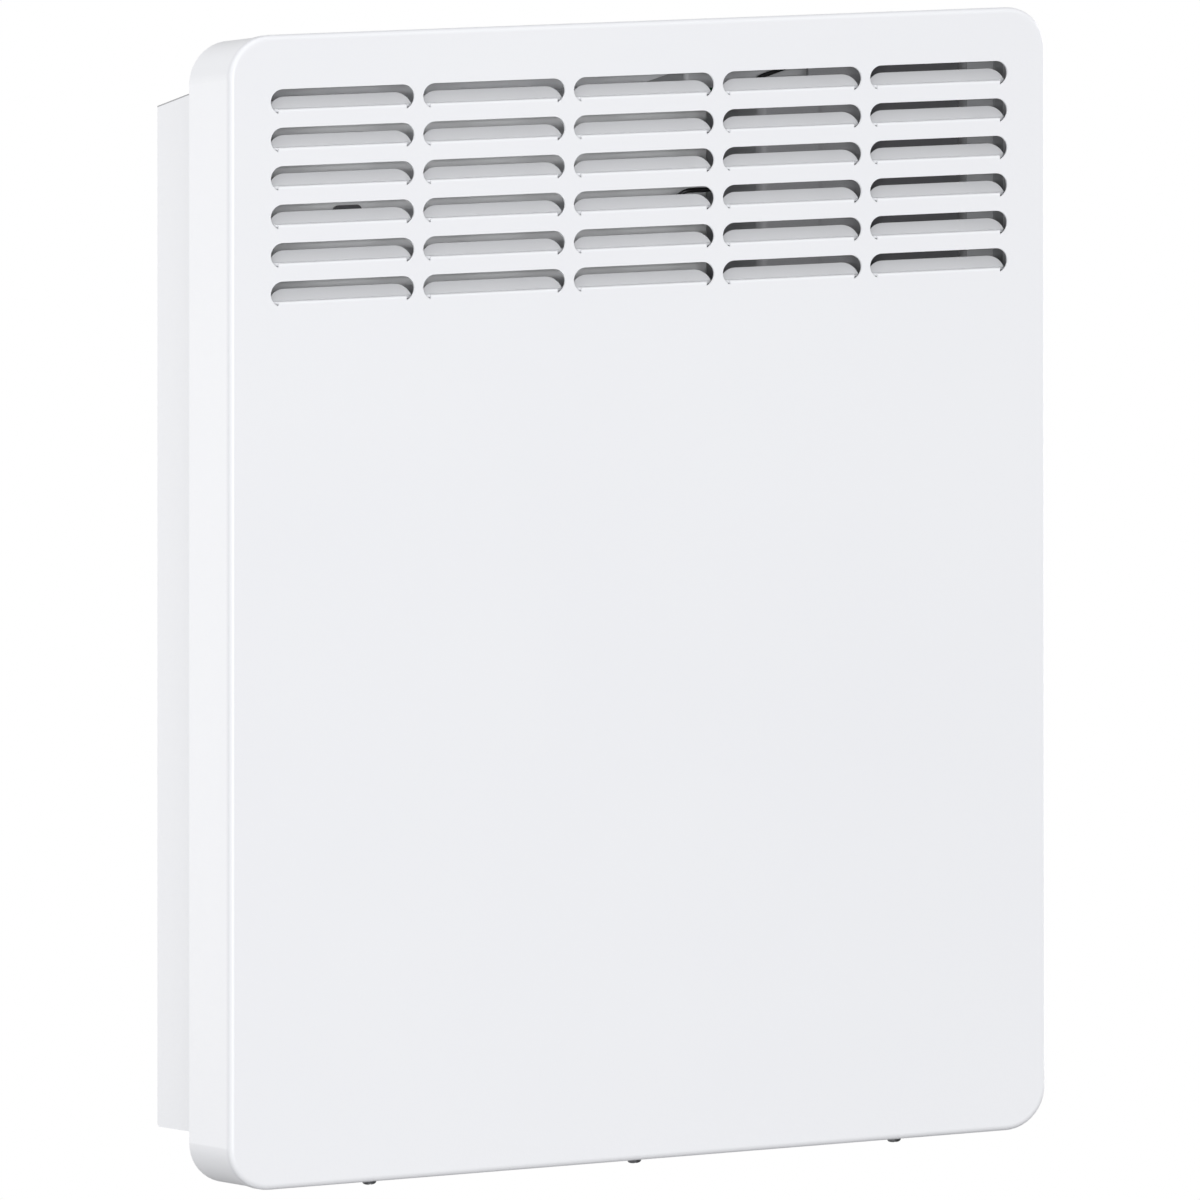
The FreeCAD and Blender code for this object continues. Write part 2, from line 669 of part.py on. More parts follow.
half_width = S.cover_width / 2
half_height = S.cover_height / 2
front = S.overall_depth
rim_back = S.overall_depth - S.cover_depth
cover_wall = S.bead_step + S.cover_sheet
cover_inner_front = front - S.cover_sheet
housing_side = half_width - S.housing_side_inset
housing_inside = housing_side - S.housing_sheet
housing_low = -half_height + S.housing_bottom_inset
housing_floor = housing_low + S.housing_sheet
housing_top_front = half_height - S.housing_top_inset
housing_top_back = housing_top_front - S.housing_top_drop
top_slope = S.housing_top_drop / (rim_back - S.wall_gap)
rear_panel_back = S.wall_gap + S.panel_recess
rear_panel_front = rear_panel_back + S.housing_sheet
lip_inset = cover_wall + S.lip_gap
lip_bottom = -half_height + lip_inset
cover_screw_depth = front - S.cover_screw_setback
tapped = S.screw_radius + S.thread_play
clearance = S.screw_radius + S.screw_play


def housing_top(depth):
    """Height of the housing's sloping top at a distance from the wall."""
    return housing_top_back + (depth - S.wall_gap) * top_slope


# Places of the inner pieces, from the left side to the wiring space on the right and from the floor to the top

rivet_hole = S.rivet_radius + S.thread_play
foot_middle = S.foot_width / 2
partition_right = housing_inside - S.wiring_width
partition_place = partition_right - S.inner_sheet
inlet_place = partition_right + S.inlet_gap
inlet_start = -housing_inside + S.inlet_side_gap
inlet_row_pitch = (rim_back - S.inlet_front_gap - S.inlet_back) / (S.inlet_rows - 1)
tongue_top = housing_low - S.tongue_gap
hook_upper = S.wall_hole_spacing_z / 2 + S.hook_lift
hook_lower = -S.wall_hole_spacing_z / 2

box_right = housing_inside - S.box_side_gap
box_left = box_right - S.box_width
box_middle = (box_left + box_right) / 2
box_bottom = housing_top_back - S.box_top_gap - S.box_height
box_step_place = box_left + S.box_step_width
box_boss_places = [box_middle - S.boss_spacing / 2, box_middle + S.boss_spacing / 2]
box_boss_height = box_bottom + S.boss_rise
board_back = S.box_back + S.box_wall * 2
board_post_x = [box_middle + side * (S.power_board_width / 2 - S.board_margin) for side in (-1, 1)]
board_post_depth = [board_back + S.board_margin, board_back + S.power_board_depth - S.board_margin]
box_entries = [(partition_right + S.box_entry_gap + step * S.box_entry_pitch, S.box_entry_depth) for step in range(5)]
fuse_entry_height = box_bottom + S.fuse_entry_rise

deflector_left = box_left - S.deflector_rim
deflector_top = box_bottom - S.deflector_gap
deflector_foot = deflector_top - S.foot_width
fuse_lane = box_left + S.fuse_lane_inset
deflector_rivets = [(x, deflector_top - foot_middle)
                    for x in (deflector_left + S.foot_width, partition_place - S.foot_width)]
partition_top = deflector_top - S.inner_sheet - S.partition_top_gap
partition_rivets = [(partition_right + foot_middle, z)
                    for z in (partition_top - S.foot_width * 2, housing_floor + S.foot_width)]

shield_front = rear_panel_front + S.shield_gap + S.inner_sheet
shield_start = -housing_inside + S.shield_side_gap
shield_end = partition_place - S.shield_end_gap
shield_top = deflector_foot - S.shield_top_gap - S.foot_width
shield_low = housing_floor + S.shield_floor_gap + S.foot_width
shield_rivets = [(x, z) for x in (shield_start + S.shield_rivet_inset, shield_end - S.shield_rivet_inset)
                 for z in (shield_top + foot_middle, shield_low - foot_middle)]
panel_rivets = shield_rivets + partition_rivets + deflector_rivets

element_height = housing_floor + S.element_rise
fin_back = shield_front + S.inner_sheet + S.rivet_head_height + S.fin_gap
element_depth = fin_back + S.fin_width / 2
leg_depths = (element_depth - S.tube_spacing / 2, element_depth + S.tube_spacing / 2)
tube_bend = -housing_inside + S.tube_bend_gap
tube_end = partition_place + S.tube_reach
fin_start = -housing_inside + S.fin_start_gap
fin_pitch = (partition_place - S.fin_end_gap - S.fin_sheet - fin_start) / (S.fin_count - 1)
bracket_start = -housing_inside + S.bracket_side_gap
bracket_rivets = [(bracket_start + S.inner_sheet + foot_middle, element_height + side * S.fin_height / 4)
                  for side in (-1, 1)]

limiter_height = element_height + S.limiter_rise
limiter_face = partition_right + S.limiter_flange
limiter_back = limiter_face + S.limiter_base_length
limiter_spade = S.spade_width / 2 + S.spade_sheet
fuse_rivet = (box_left - S.fuse_gap, shield_top - S.fuse_drop)

panel_middle = housing_inside - S.bezel_side_gap - S.bezel_length / 2
panel_depth = (rear_panel_front + rim_back) / 2
bezel_width = rim_back - rear_panel_front - 2 * S.panel_margin
skirt_length, skirt_width = S.bezel_length - 2 * S.bezel_rim, bezel_width - 2 * S.bezel_rim
button_places = [S.button_first + step * S.button_pitch for step in range(4)]
switch_height = box_bottom - S.switch_drop
switch_back = housing_side - S.switch_barrel_length
rocker_axis_x = housing_side + S.switch_bezel_thick - S.rocker_pin_inset
block_middle = housing_floor + S.block_rise
pole_places = [inlet_place + step * S.pole_pitch for step in (-1, 0, 1)]
pole_depth = rear_panel_front + S.pole_hole_rise
block_screw_places = [inlet_place - S.pole_pitch, inlet_place + S.pole_pitch]
earth_height = housing_floor + S.earth_rise


# Front cover: a drawn pan with a bead round its front and lanced louvres

def front_cover():
    body = new_body("front_cover")

    def outline(depth, inset):
        sketch = new_sketch(body, "XZ", depth)
        rounded(sketch, -half_width + inset, half_width - inset, -half_height + inset, half_height - inset,
                S.corner_radius - inset)
        return sketch

    pad(body, outline(front, ZERO), S.bead_depth, "behind")
    pad(body, outline(front - S.bead_depth, S.bead_step), S.cover_depth - S.bead_depth, "behind")
    round_edges(body, S.front_edge_radius, lambda edge: lies_at(edge, "Y", -front))
    pocket(body, outline(rim_back, cover_wall), S.cover_depth - S.cover_sheet, "ahead")
    inner_radius = S.front_edge_radius - S.cover_sheet
    round_edges(body, inner_radius, lambda edge: lies_at(edge, "Y", -cover_inner_front))

    # One louvre at the top left: the slot, the fold at its foot, a ledge and the flap that leans inwards
    span = (S.slot_columns - 1) * S.column_pitch + S.slot_length
    left = -span / 2
    right = left + S.slot_length
    top = half_height - S.slot_top_margin
    bottom = top - S.slot_height
    bend_line = bottom + S.flap_root
    slot_sketch = new_sketch(body, "XZ", front)
    obround(slot_sketch, left, right, bottom, top)
    slot = pocket(body, slot_sketch, S.cover_sheet * 2)

    outer, inner = S.flap_bend_radius, S.flap_bend_radius - S.cover_sheet
    turned_in, turned_up = cosine(S.flap_fold), sine(S.flap_fold)
    root_sketch = new_sketch(body, "YZ", (left + right) / 2)
    centre_y = -front + outer
    root_corners = [
        (-front, bend_line), (-front, bottom), (-front + S.cover_sheet, bottom), (-front + S.cover_sheet, bend_line),
        (centre_y - inner * turned_in, bend_line + inner * turned_up),
        (centre_y - outer * turned_in, bend_line + outer * turned_up)]
    for start, end in ((0, 1), (1, 2), (2, 3)):
        root_sketch.addGeometry(Part.LineSegment(flat(*root_corners[start]), flat(*root_corners[end])), False)
    fold_end = 180 - float(S.flap_fold)
    inner_arc = arc(root_sketch, centre_y, bend_line, inner, fold_end, 180)
    root_sketch.addGeometry(Part.LineSegment(flat(*root_corners[4]), flat(*root_corners[5])), False)
    outer_arc = arc(root_sketch, centre_y, bend_line, outer, fold_end, 180)
    for geometry, corner in ((0, 0), (1, 1), (2, 2), (4, 4)):
        dimension(root_sketch, "DistanceX", geometry, 1, root_corners[corner][0])
        dimension(root_sketch, "DistanceY", geometry, 1, root_corners[corner][1])
    for bow in (inner_arc, outer_arc):
        dimension(root_sketch, "DistanceX", bow, 3, centre_y)
        dimension(root_sketch, "DistanceY", bow, 3, bend_line)
    joints = ((0, 2, 1, 1), (1, 2, 2, 1), (2, 2, inner_arc, 2), (inner_arc, 1, 4, 1), (4, 2, outer_arc, 1),
              (outer_arc, 2, 0, 1))
    for first, first_point, second, second_point in joints:
        root_sketch.addConstraint(Sketcher.Constraint("Coincident", first, first_point, second, second_point))
    dimension(root_sketch, "DistanceY", 4, 2, root_corners[5][1])
    strip = pad(body, root_sketch, S.slot_length - 2 * S.flap_relief, "both")

    def leaning_sketch(angle, depth, height):
        """A sketch whose plane leans inwards by an angle from an upright one at that depth and height."""
        sketch = new_sketch(body, "XZ")
        sketch.AttachmentOffset.Rotation = Rotation(Vector(1, 0, 0), -float(angle))
        sketch.setExpression("AttachmentOffset.Rotation.Angle", angle.text)
        sketch.setExpression("AttachmentOffset.Rotation.Axis.x", "-1")
        bind(sketch, "AttachmentOffset.Base.z", depth)
        bind(sketch, "AttachmentOffset.Base.y", height)
        return sketch

    # The ledge widens from the strip to the flap, and reaches under it by the sheet's thickness
    fold_depth, fold_height = front - outer + outer * turned_in, bend_line + outer * turned_up
    flap_left, flap_right = left + S.flap_kerf, right - S.flap_kerf
    ledge_sketch = leaning_sketch(S.flap_fold, fold_depth, fold_height)
    ledge_end = S.flap_ledge + S.cover_sheet
    polygon(ledge_sketch, [(left + S.flap_relief, ZERO), (right - S.flap_relief, ZERO), (flap_right, S.flap_ledge),
                           (flap_right, ledge_end), (flap_left, ledge_end), (flap_left, S.flap_ledge)])
    ledge = pad(body, ledge_sketch, S.cover_sheet, "behind")

    # The flap is what is left of the slot's sheet, and its ends are arcs down to the ledge
    flap_sketch = leaning_sketch(S.flap_lean, fold_depth - S.flap_ledge * turned_up,
                                 fold_height + S.flap_ledge * turned_in)
    fold_length = S.flap_bend_radius * S.flap_fold * (math.pi / 180)
    flap_height = S.slot_height - S.flap_root - fold_length - S.flap_ledge - S.flap_trim
    radius = S.flap_corner
    below = radius - flap_height
    reach = root(radius * radius - below * below)
    left_centre, right_centre = flap_left + reach, flap_right - reach
    foot_angle = math.degrees(math.asin(float(below) / float(radius)))
    flap_sketch.addGeometry(Part.LineSegment(flat(flap_left, ZERO), flat(flap_right, ZERO)), False)
    right_bow = arc(flap_sketch, right_centre, -below, radius, foot_angle, 90)
    flap_sketch.addGeometry(Part.LineSegment(flat(right_centre, flap_height), flat(left_centre, flap_height)), False)
    left_bow = arc(flap_sketch, left_centre, -below, radius, 90, 180 - foot_angle)
    for step in range(4):
        flap_sketch.addConstraint(Sketcher.Constraint("Coincident", step, 2, (step + 1) % 4, 1))
    for bow, centre in ((right_bow, right_centre), (left_bow, left_centre)):
        dimension(flap_sketch, "DistanceX", bow, 3, centre)
        dimension(flap_sketch, "DistanceY", bow, 3, -below)
        dimension_radius(flap_sketch, bow, radius)
    for point in (1, 2):
        dimension(flap_sketch, "DistanceY", 0, point, ZERO)
    dimension(flap_sketch, "DistanceX", 2, 1, right_centre)
    dimension(flap_sketch, "DistanceX", 2, 2, left_centre)
    flap = pad(body, flap_sketch, S.cover_sheet, "behind")
    grid(body, [slot, strip, ledge, flap], "X", S.column_pitch, S.slot_columns, "-Z", S.row_pitch, S.slot_rows)

    # Clearance holes for the cover screws in the bottom edge
    holes = new_sketch(body, "XY", -half_height)
    for side in (-1, 0, 1):
        circle(holes, side * S.cover_screw_pitch, -cover_screw_depth, clearance)
    pocket(body, holes, cover_wall * 2, "ahead")


# Rear housing: a folded frame with a lip inside the cover and an air inlet below

def rear_housing():
    body = new_body("rear_housing")
    profile = new_sketch(body, "YZ")
    polygon(profile, [(-rim_back, housing_low), (-S.wall_gap, housing_low), (-S.wall_gap, housing_top_back),
                      (-rim_back, housing_top_front)])
    pad(body, profile, housing_side * 2, "both")
    round_edges(body, S.housing_corner,
                lambda edge: lies_at(edge, "Y", -S.wall_gap) and lies_at(edge, "Z", housing_low))

    def lip_outline(depth, inset):
        sketch = new_sketch(body, "XZ", depth)
        rounded(sketch, -half_width + inset, half_width - inset, -half_height + inset, half_height - inset,
                S.corner_radius - inset)
        return sketch

    lip_front = rim_back + S.housing_sheet + S.lip_depth
    pad(body, lip_outline(rim_back, lip_inset), S.housing_sheet + S.lip_depth)
    pocket(body, lip_outline(lip_front, lip_inset + S.housing_sheet), S.lip_depth)

    duct_front = rim_back + S.housing_sheet
    duct = new_sketch(body, "YZ")
    polygon(duct, [(-duct_front, housing_floor), (ZERO, housing_floor), (ZERO, housing_top(ZERO) - S.housing_sheet),
                   (-duct_front, housing_top(duct_front) - S.housing_sheet)])
    pocket(body, duct, housing_inside * 2, "both")

    # Tabs along the bottom lip that take the cover screws
    tabs = new_sketch(body, "XY", lip_bottom)
    for side in (-1, 0, 1):
        middle = side * S.cover_screw_pitch
        rectangle(tabs, middle - S.tab_width / 2, middle + S.tab_width / 2, -(cover_screw_depth + S.tab_margin),
                  -(lip_front - S.housing_sheet))
        circle(tabs, middle, -cover_screw_depth, tapped)
    pad(body, tabs, S.housing_sheet)

    # Air inlet, cable gland, locking screw and sensor clip in the bottom
    inlet = new_sketch(body, "XY", housing_low)
    obround(inlet, inlet_start, inlet_start + S.inlet_length, -(S.inlet_back + S.inlet_width / 2),
            -(S.inlet_back - S.inlet_width / 2))
    first = pocket(body, inlet, S.housing_sheet * 2, "ahead")
    grid(body, [first], "X", S.inlet_column_pitch, S.inlet_columns, "-Y", inlet_row_pitch, S.inlet_rows)
    floor = new_sketch(body, "XY", housing_low)
    circle(floor, inlet_place, -S.gland_depth, S.gland_barrel + S.gland_play)
    circle(floor, ZERO, -S.lock_screw_depth, tapped)
    circle(floor, inlet_place, -S.sensor_depth, S.clip_peg + S.thread_play)
    pocket(body, floor, S.housing_sheet * 2, "ahead")

    # Cut-outs for the control panel on top and the mains switch in the right side
    top = new_sketch(body, "XY", housing_top_front)
    half_length = skirt_length / 2 + S.skirt_play
    half_depth = skirt_width / 2 + S.skirt_play
    rectangle(top, panel_middle - half_length, panel_middle + half_length, -panel_depth - half_depth,
              -panel_depth + half_depth)
    pocket(body, top, S.housing_top_drop + S.housing_sheet * 3)
    side = new_sketch(body, "YZ", housing_side)
    half_width_cut = S.switch_barrel_width / 2 + S.switch_play
    half_height_cut = S.switch_barrel_height / 2 + S.switch_play
    rectangle(side, -panel_depth - half_width_cut, -panel_depth + half_width_cut,
              switch_height - half_height_cut, switch_height + half_height_cut)
    pocket(body, side, S.housing_sheet * 2)


# Rear panel: a tray welded between the housing's sides, ahead of the recess for the wall bracket

def rear_panel():
    body = new_body("rear_panel")
    flange_front = -(rear_panel_front + S.panel_flange)
    fold = housing_inside - S.housing_sheet
    plan = new_sketch(body, "XY", housing_floor)
    polygon(plan, [
        (-housing_inside, -rear_panel_back), (housing_inside, -rear_panel_back), (housing_inside, flange_front),
        (fold, flange_front), (fold, -rear_panel_front), (-fold, -rear_panel_front), (-fold, flange_front),
        (-housing_inside, flange_front)])
    pad(body, plan, housing_top(rear_panel_back) - S.housing_sheet - housing_floor)

    # Slots that hang on the wall bracket's hooks
    slots = new_sketch(body, "XZ", rear_panel_front)
    for side in (-1, 1):
        middle = side * S.hook_spacing / 2
        half = S.hook_width / 2 + S.hook_side_play
        for seat in (hook_upper, hook_lower):
            rectangle(slots, middle - half, middle + half, seat - S.hook_slot_height, seat)
    pocket(body, slots, S.housing_sheet * 2)

    # Holes in the rear panel for the rivets and screws of what it carries
    holes = new_sketch(body, "XZ", rear_panel_front)
    for x, z in panel_rivets:
        circle(holes, x, z, rivet_hole)
    for x in box_boss_places:
        circle(holes, x, box_boss_height, clearance)
    for x in block_screw_places:
        circle(holes, x, block_middle, clearance)
    circle(holes, inlet_place, earth_height, tapped)
    pocket(body, holes, S.housing_sheet * 2)


# Wall bracket: a stamped frame with four hooks and a locking tongue under the housing

def wall_bracket():
    body = new_body("wall_bracket")
    half_across, half_up = S.hook_spacing / 2 + S.bracket_side, S.wall_hole_spacing_z / 2 + S.bracket_end
    plate = new_sketch(body, "XZ")
    rounded(plate, -half_across, half_across, -half_up, half_up, S.bracket_corner)
    rounded(plate, -half_across + S.bracket_leg, half_across - S.bracket_leg, -half_up + S.bracket_bar,
            half_up - S.bracket_bar, S.bracket_corner)
    for side in (-1, 1):
        for end in (-1, 1):
            circle(plate, side * S.wall_hole_spacing_x / 2, end * S.wall_hole_spacing_z / 2, S.wall_hole_radius)
    pad(body, plate, S.bracket_sheet)

    seat = hook_upper
    lip_back = S.hook_reach - S.bracket_sheet
    hook = new_sketch(body, "YZ", -S.hook_spacing / 2)
    polygon(hook, [(ZERO, seat - S.bracket_sheet), (ZERO, seat), (-lip_back, seat), (-lip_back, seat + S.hook_lip),
                   (-S.hook_reach, seat + S.hook_lip), (-S.hook_reach, seat - S.bracket_sheet)])
    one = pad(body, hook, S.hook_width, "both")
    grid(body, [one], "X", S.hook_spacing, as_size(2), "-Z", hook_upper - hook_lower, as_size(2))
    lip_tops = [hook_upper + S.hook_lip, hook_lower + S.hook_lip]
    round_edges(body, S.hook_corner,
                lambda edge: edge.BoundBox.XLength < 1e-6 and any(lies_at(edge, "Z", top) for top in lip_tops))

    start = -half_up + S.bracket_bar / 2
    tongue = new_sketch(body, "YZ")
    tongue_low = tongue_top - S.bracket_sheet
    polygon(tongue, [(ZERO, start), (ZERO, tongue_low), (-S.tongue_reach, tongue_low),
                     (-S.tongue_reach, tongue_top), (-S.bracket_sheet, tongue_top), (-S.bracket_sheet, start)])
    pad(body, tongue, S.tongue_width, "both")
    hole = new_sketch(body, "XY", tongue_top)
    circle(hole, ZERO, -S.lock_screw_depth, clearance)
    pocket(body, hole, S.bracket_sheet * 2)


# Heating element: a sheathed tube bent double, with aluminium fins, held by a bracket and the partition

def heating_element():
    tube = new_body("heating_tube")
    path = new_sketch(tube, "XY", element_height)
    back_y, front_y = -leg_depths[0], -leg_depths[1]
    path.addGeometry(Part.LineSegment(flat(tube_end, back_y), flat(tube_bend, back_y)), False)
    arc(path, tube_bend, -element_depth, S.tube_spacing / 2, 90, 270)
    path.addGeometry(Part.LineSegment(flat(tube_bend, front_y), flat(tube_end, front_y)), False)
    path.addConstraint(Sketcher.Constraint("Coincident", 0, 2, 1, 1))
    path.addConstraint(Sketcher.Constraint("Coincident", 1, 2, 2, 1))
    ends = ((0, 1, tube_end, back_y), (1, 1, tube_bend, back_y), (1, 2, tube_bend, front_y),
            (2, 2, tube_end, front_y))
    for geometry, point, x, y in ends:
        dimension(path, "DistanceX", geometry, point, x)
        dimension(path, "DistanceY", geometry, point, y)
    dimension(path, "DistanceX", 1, 3, tube_bend)
    section = new_sketch(tube, "YZ", tube_end)
    circle(section, back_y, element_height, S.tube_radius)
    pipe = tube.newObject("PartDesign::AdditivePipe", "heating_tube_pipe")
    pipe.Profile = section
    pipe.Spine = (path, ["Edge1", "Edge2", "Edge3"])
    tube.Tip = pipe

    fins = new_body("heating_fins")
    fin = new_sketch(fins, "YZ", fin_start)
    rounded(fin, -element_depth - S.fin_width / 2, -element_depth + S.fin_width / 2,
            element_height - S.fin_height / 2, element_height + S.fin_height / 2, S.fin_corner)
    for depth in leg_depths:
        circle(fin, -depth, element_height, S.tube_radius + S.tube_play)
    one = pad(fins, fin, S.fin_sheet)
    grid(fins, [one], "X", fin_pitch, S.fin_count)

    beads, pins = [], []
    for side, depth in zip(("back", "front"), leg_depths):
        end = (tube_end, -depth, element_height)
        shell = rod(f"bead_{side}_shell", end, "x", S.bead_radius, S.bead_length)
        bore = rod(f"bead_{side}_bore", end, "x", S.pin_radius + S.tube_play, S.bead_length)
        beads.append(cut(f"bead_{side}", shell, [bore]))
        pins.append(rod(f"pin_{side}", end, "x", S.pin_radius, S.pin_length))
    node(group("element_beads", beads))
    node(group("element_pins", pins))

    bracket = new_body("element_bracket")
    left, right = bracket_start, bracket_start + S.inner_sheet
    plan = new_sketch(bracket, "XY", element_height - S.fin_height / 2)
    plate_front = -(leg_depths[1] + S.foot_width)
    foot_front = -(shield_front + S.inner_sheet)
    polygon(plan, [(left, plate_front), (right, plate_front), (right, foot_front), (right + S.foot_width, foot_front),
                   (right + S.foot_width, -shield_front), (left, -shield_front)])
    pad(bracket, plan, S.fin_height)
    holes = new_sketch(bracket, "YZ", left)
    for depth in leg_depths:
        circle(holes, -depth, element_height, S.tube_radius + S.tube_play)
    pocket(bracket, holes, S.inner_sheet * 2, "ahead")
    rivet_sketch = new_sketch(bracket, "XZ", shield_front + S.inner_sheet)
    for x, z in bracket_rivets:
        circle(rivet_sketch, x, z, rivet_hole)
    pocket(bracket, rivet_sketch, S.inner_sheet)


# Heat shield: a hat-shaped sheet that keeps the rear panel cool

def heat_shield():
    body = new_body("heat_shield")
    back, foot = -rear_panel_front, -(rear_panel_front + S.inner_sheet)
    face, face_back = -shield_front, -(shield_front - S.inner_sheet)
    top, low = shield_top, shield_low
    hat = new_sketch(body, "YZ", shield_start)
    polygon(hat, [
        (back, top + S.foot_width), (foot, top + S.foot_width), (foot, top), (face, top), (face, low), (foot, low),
        (foot, low - S.foot_width), (back, low - S.foot_width), (back, low + S.inner_sheet),
        (face_back, low + S.inner_sheet), (face_back, top - S.inner_sheet), (back, top - S.inner_sheet)])
    pad(body, hat, shield_end - shield_start)
    foot_holes = new_sketch(body, "XZ", rear_panel_front + S.inner_sheet)
    for x, z in shield_rivets:
        circle(foot_holes, x, z, rivet_hole)
    pocket(body, foot_holes, S.inner_sheet)
    face_holes = new_sketch(body, "XZ", shield_front)
    for x, z in bracket_rivets + [fuse_rivet]:
        circle(face_holes, x, z, rivet_hole)
    pocket(body, face_holes, S.inner_sheet)


# Partition between the heating element and the wiring, and the deflector under the control box

def partition():
    body = new_body("partition")
    left, right = partition_place, partition_right
    foot = -(rear_panel_front + S.inner_sheet)
    plan = new_sketch(body, "XY", housing_floor)
    edge = -(front - S.partition_front_gap)
    polygon(plan, [(left, edge), (right, edge), (right, foot), (right + S.foot_width, foot),
                   (right + S.foot_width, -rear_panel_front), (left, -rear_panel_front)])
    pad(body, plan, partition_top - housing_floor)
    holes = new_sketch(body, "YZ", left)
    for depth in leg_depths:
        circle(holes, -depth, element_height, S.tube_radius + S.tube_play)
    circle(holes, -element_depth, limiter_height, S.limiter_cap_radius + S.limiter_hole_play)
    for side in (-1, 1):
        circle(holes, -element_depth + side * S.limiter_rivet, limiter_height, rivet_hole)
    pocket(body, holes, S.inner_sheet * 2, "ahead")
    foot_holes = new_sketch(body, "XZ", rear_panel_front + S.inner_sheet)
    for x, z in partition_rivets:
        circle(foot_holes, x, z, rivet_hole)
    pocket(body, foot_holes, S.inner_sheet)


def deflector():
    body = new_body("heat_deflector")
    foot = -(rear_panel_front + S.inner_sheet)
    underside = deflector_top - S.inner_sheet
    profile = new_sketch(body, "YZ", deflector_left)
    polygon(profile, [(-rear_panel_front, deflector_top), (-S.box_front, deflector_top), (-S.box_front, underside),
                      (foot, underside), (foot, deflector_foot), (-rear_panel_front, deflector_foot)])
    pad(body, profile, partition_place - deflector_left)
    holes = new_sketch(body, "XZ", rear_panel_front + S.inner_sheet)
    for x, z in deflector_rivets:
        circle(holes, x, z, rivet_hole)
    pocket(body, holes, S.inner_sheet)
    lead_hole = new_sketch(body, "XY", deflector_top)
    circle(lead_hole, fuse_lane, -S.fuse_lane_depth, S.lead_radius + S.wire_play)
    pocket(body, lead_hole, S.inner_sheet * 2)


# Overheat limiter and thermal fuse

def limiter():
    face = partition_right
    body = new_body("limiter_cap")
    flange = new_sketch(body, "YZ", face)
    reach = S.limiter_rivet + S.limiter_flange_radius / 2
    obround(flange, -element_depth - reach, -element_depth + reach, limiter_height - S.limiter_flange_radius,
            limiter_height + S.limiter_flange_radius)
    for side in (-1, 1):
        circle(flange, -element_depth + side * S.limiter_rivet, limiter_height, rivet_hole)
    pad(body, flange, S.limiter_flange)
    cap = new_sketch(body, "YZ", face)
    circle(cap, -element_depth, limiter_height, S.limiter_cap_radius)
    pad(body, cap, S.limiter_cap_length, "behind")

    base_start = face + S.limiter_flange
    node(rod("limiter_base", (base_start, -element_depth, limiter_height), "x", S.limiter_base_radius,
             S.limiter_base_length))
    spades = []
    for label, side in (("lower", -1), ("upper", 1)):
        spades.append(spade(f"limiter_spade_{label}", limiter_back, element_depth,
                            limiter_height + side * limiter_spade))
    node(group("limiter_spades", spades))


def spade(name, start, depth, height):
    """A flat push-on terminal that stands along x."""
    return block(name, (start, start + S.spade_length), (-depth - S.spade_width / 2, -depth + S.spade_width / 2),
                 (height - S.spade_sheet / 2, height + S.spade_sheet / 2))


def thermal_fuse():
    x, z = fuse_rivet
    front_of_shield = -shield_front
    middle = front_of_shield - S.clip_wall - S.fuse_radius
    strap = block("fuse_clip_strap", (x - S.fuse_length / 4, x + S.fuse_length / 4),
                  (front_of_shield - S.inner_sheet, front_of_shield),
                  (z - S.foot_width / 2, z + S.foot_width / 2 + S.fuse_radius * 4))
    height = z + S.foot_width / 2 + S.fuse_radius * 2
    sleeve = rod("fuse_clip_sleeve", (x - S.fuse_length / 4, middle, height), "x", S.fuse_radius + S.clip_wall,
                 S.fuse_length / 2)
    bore = rod("fuse_clip_bore", (x - S.fuse_length / 4, middle, height), "x", S.fuse_radius + S.tube_play,
               S.fuse_length / 2)
    hole = rod("fuse_clip_hole", (x, front_of_shield - S.inner_sheet, z), "y", rivet_hole, S.inner_sheet)
    node(cut("fuse_clip", joined("fuse_clip_whole", [strap, sleeve]), [bore, hole]))
    node(rod("thermal_fuse", (x - S.fuse_length / 2, middle, height), "x", S.fuse_radius, S.fuse_length))
    return x + S.fuse_length / 2, middle, height


# Control box: a dark moulded tray behind the right-hand louvres, with its power board

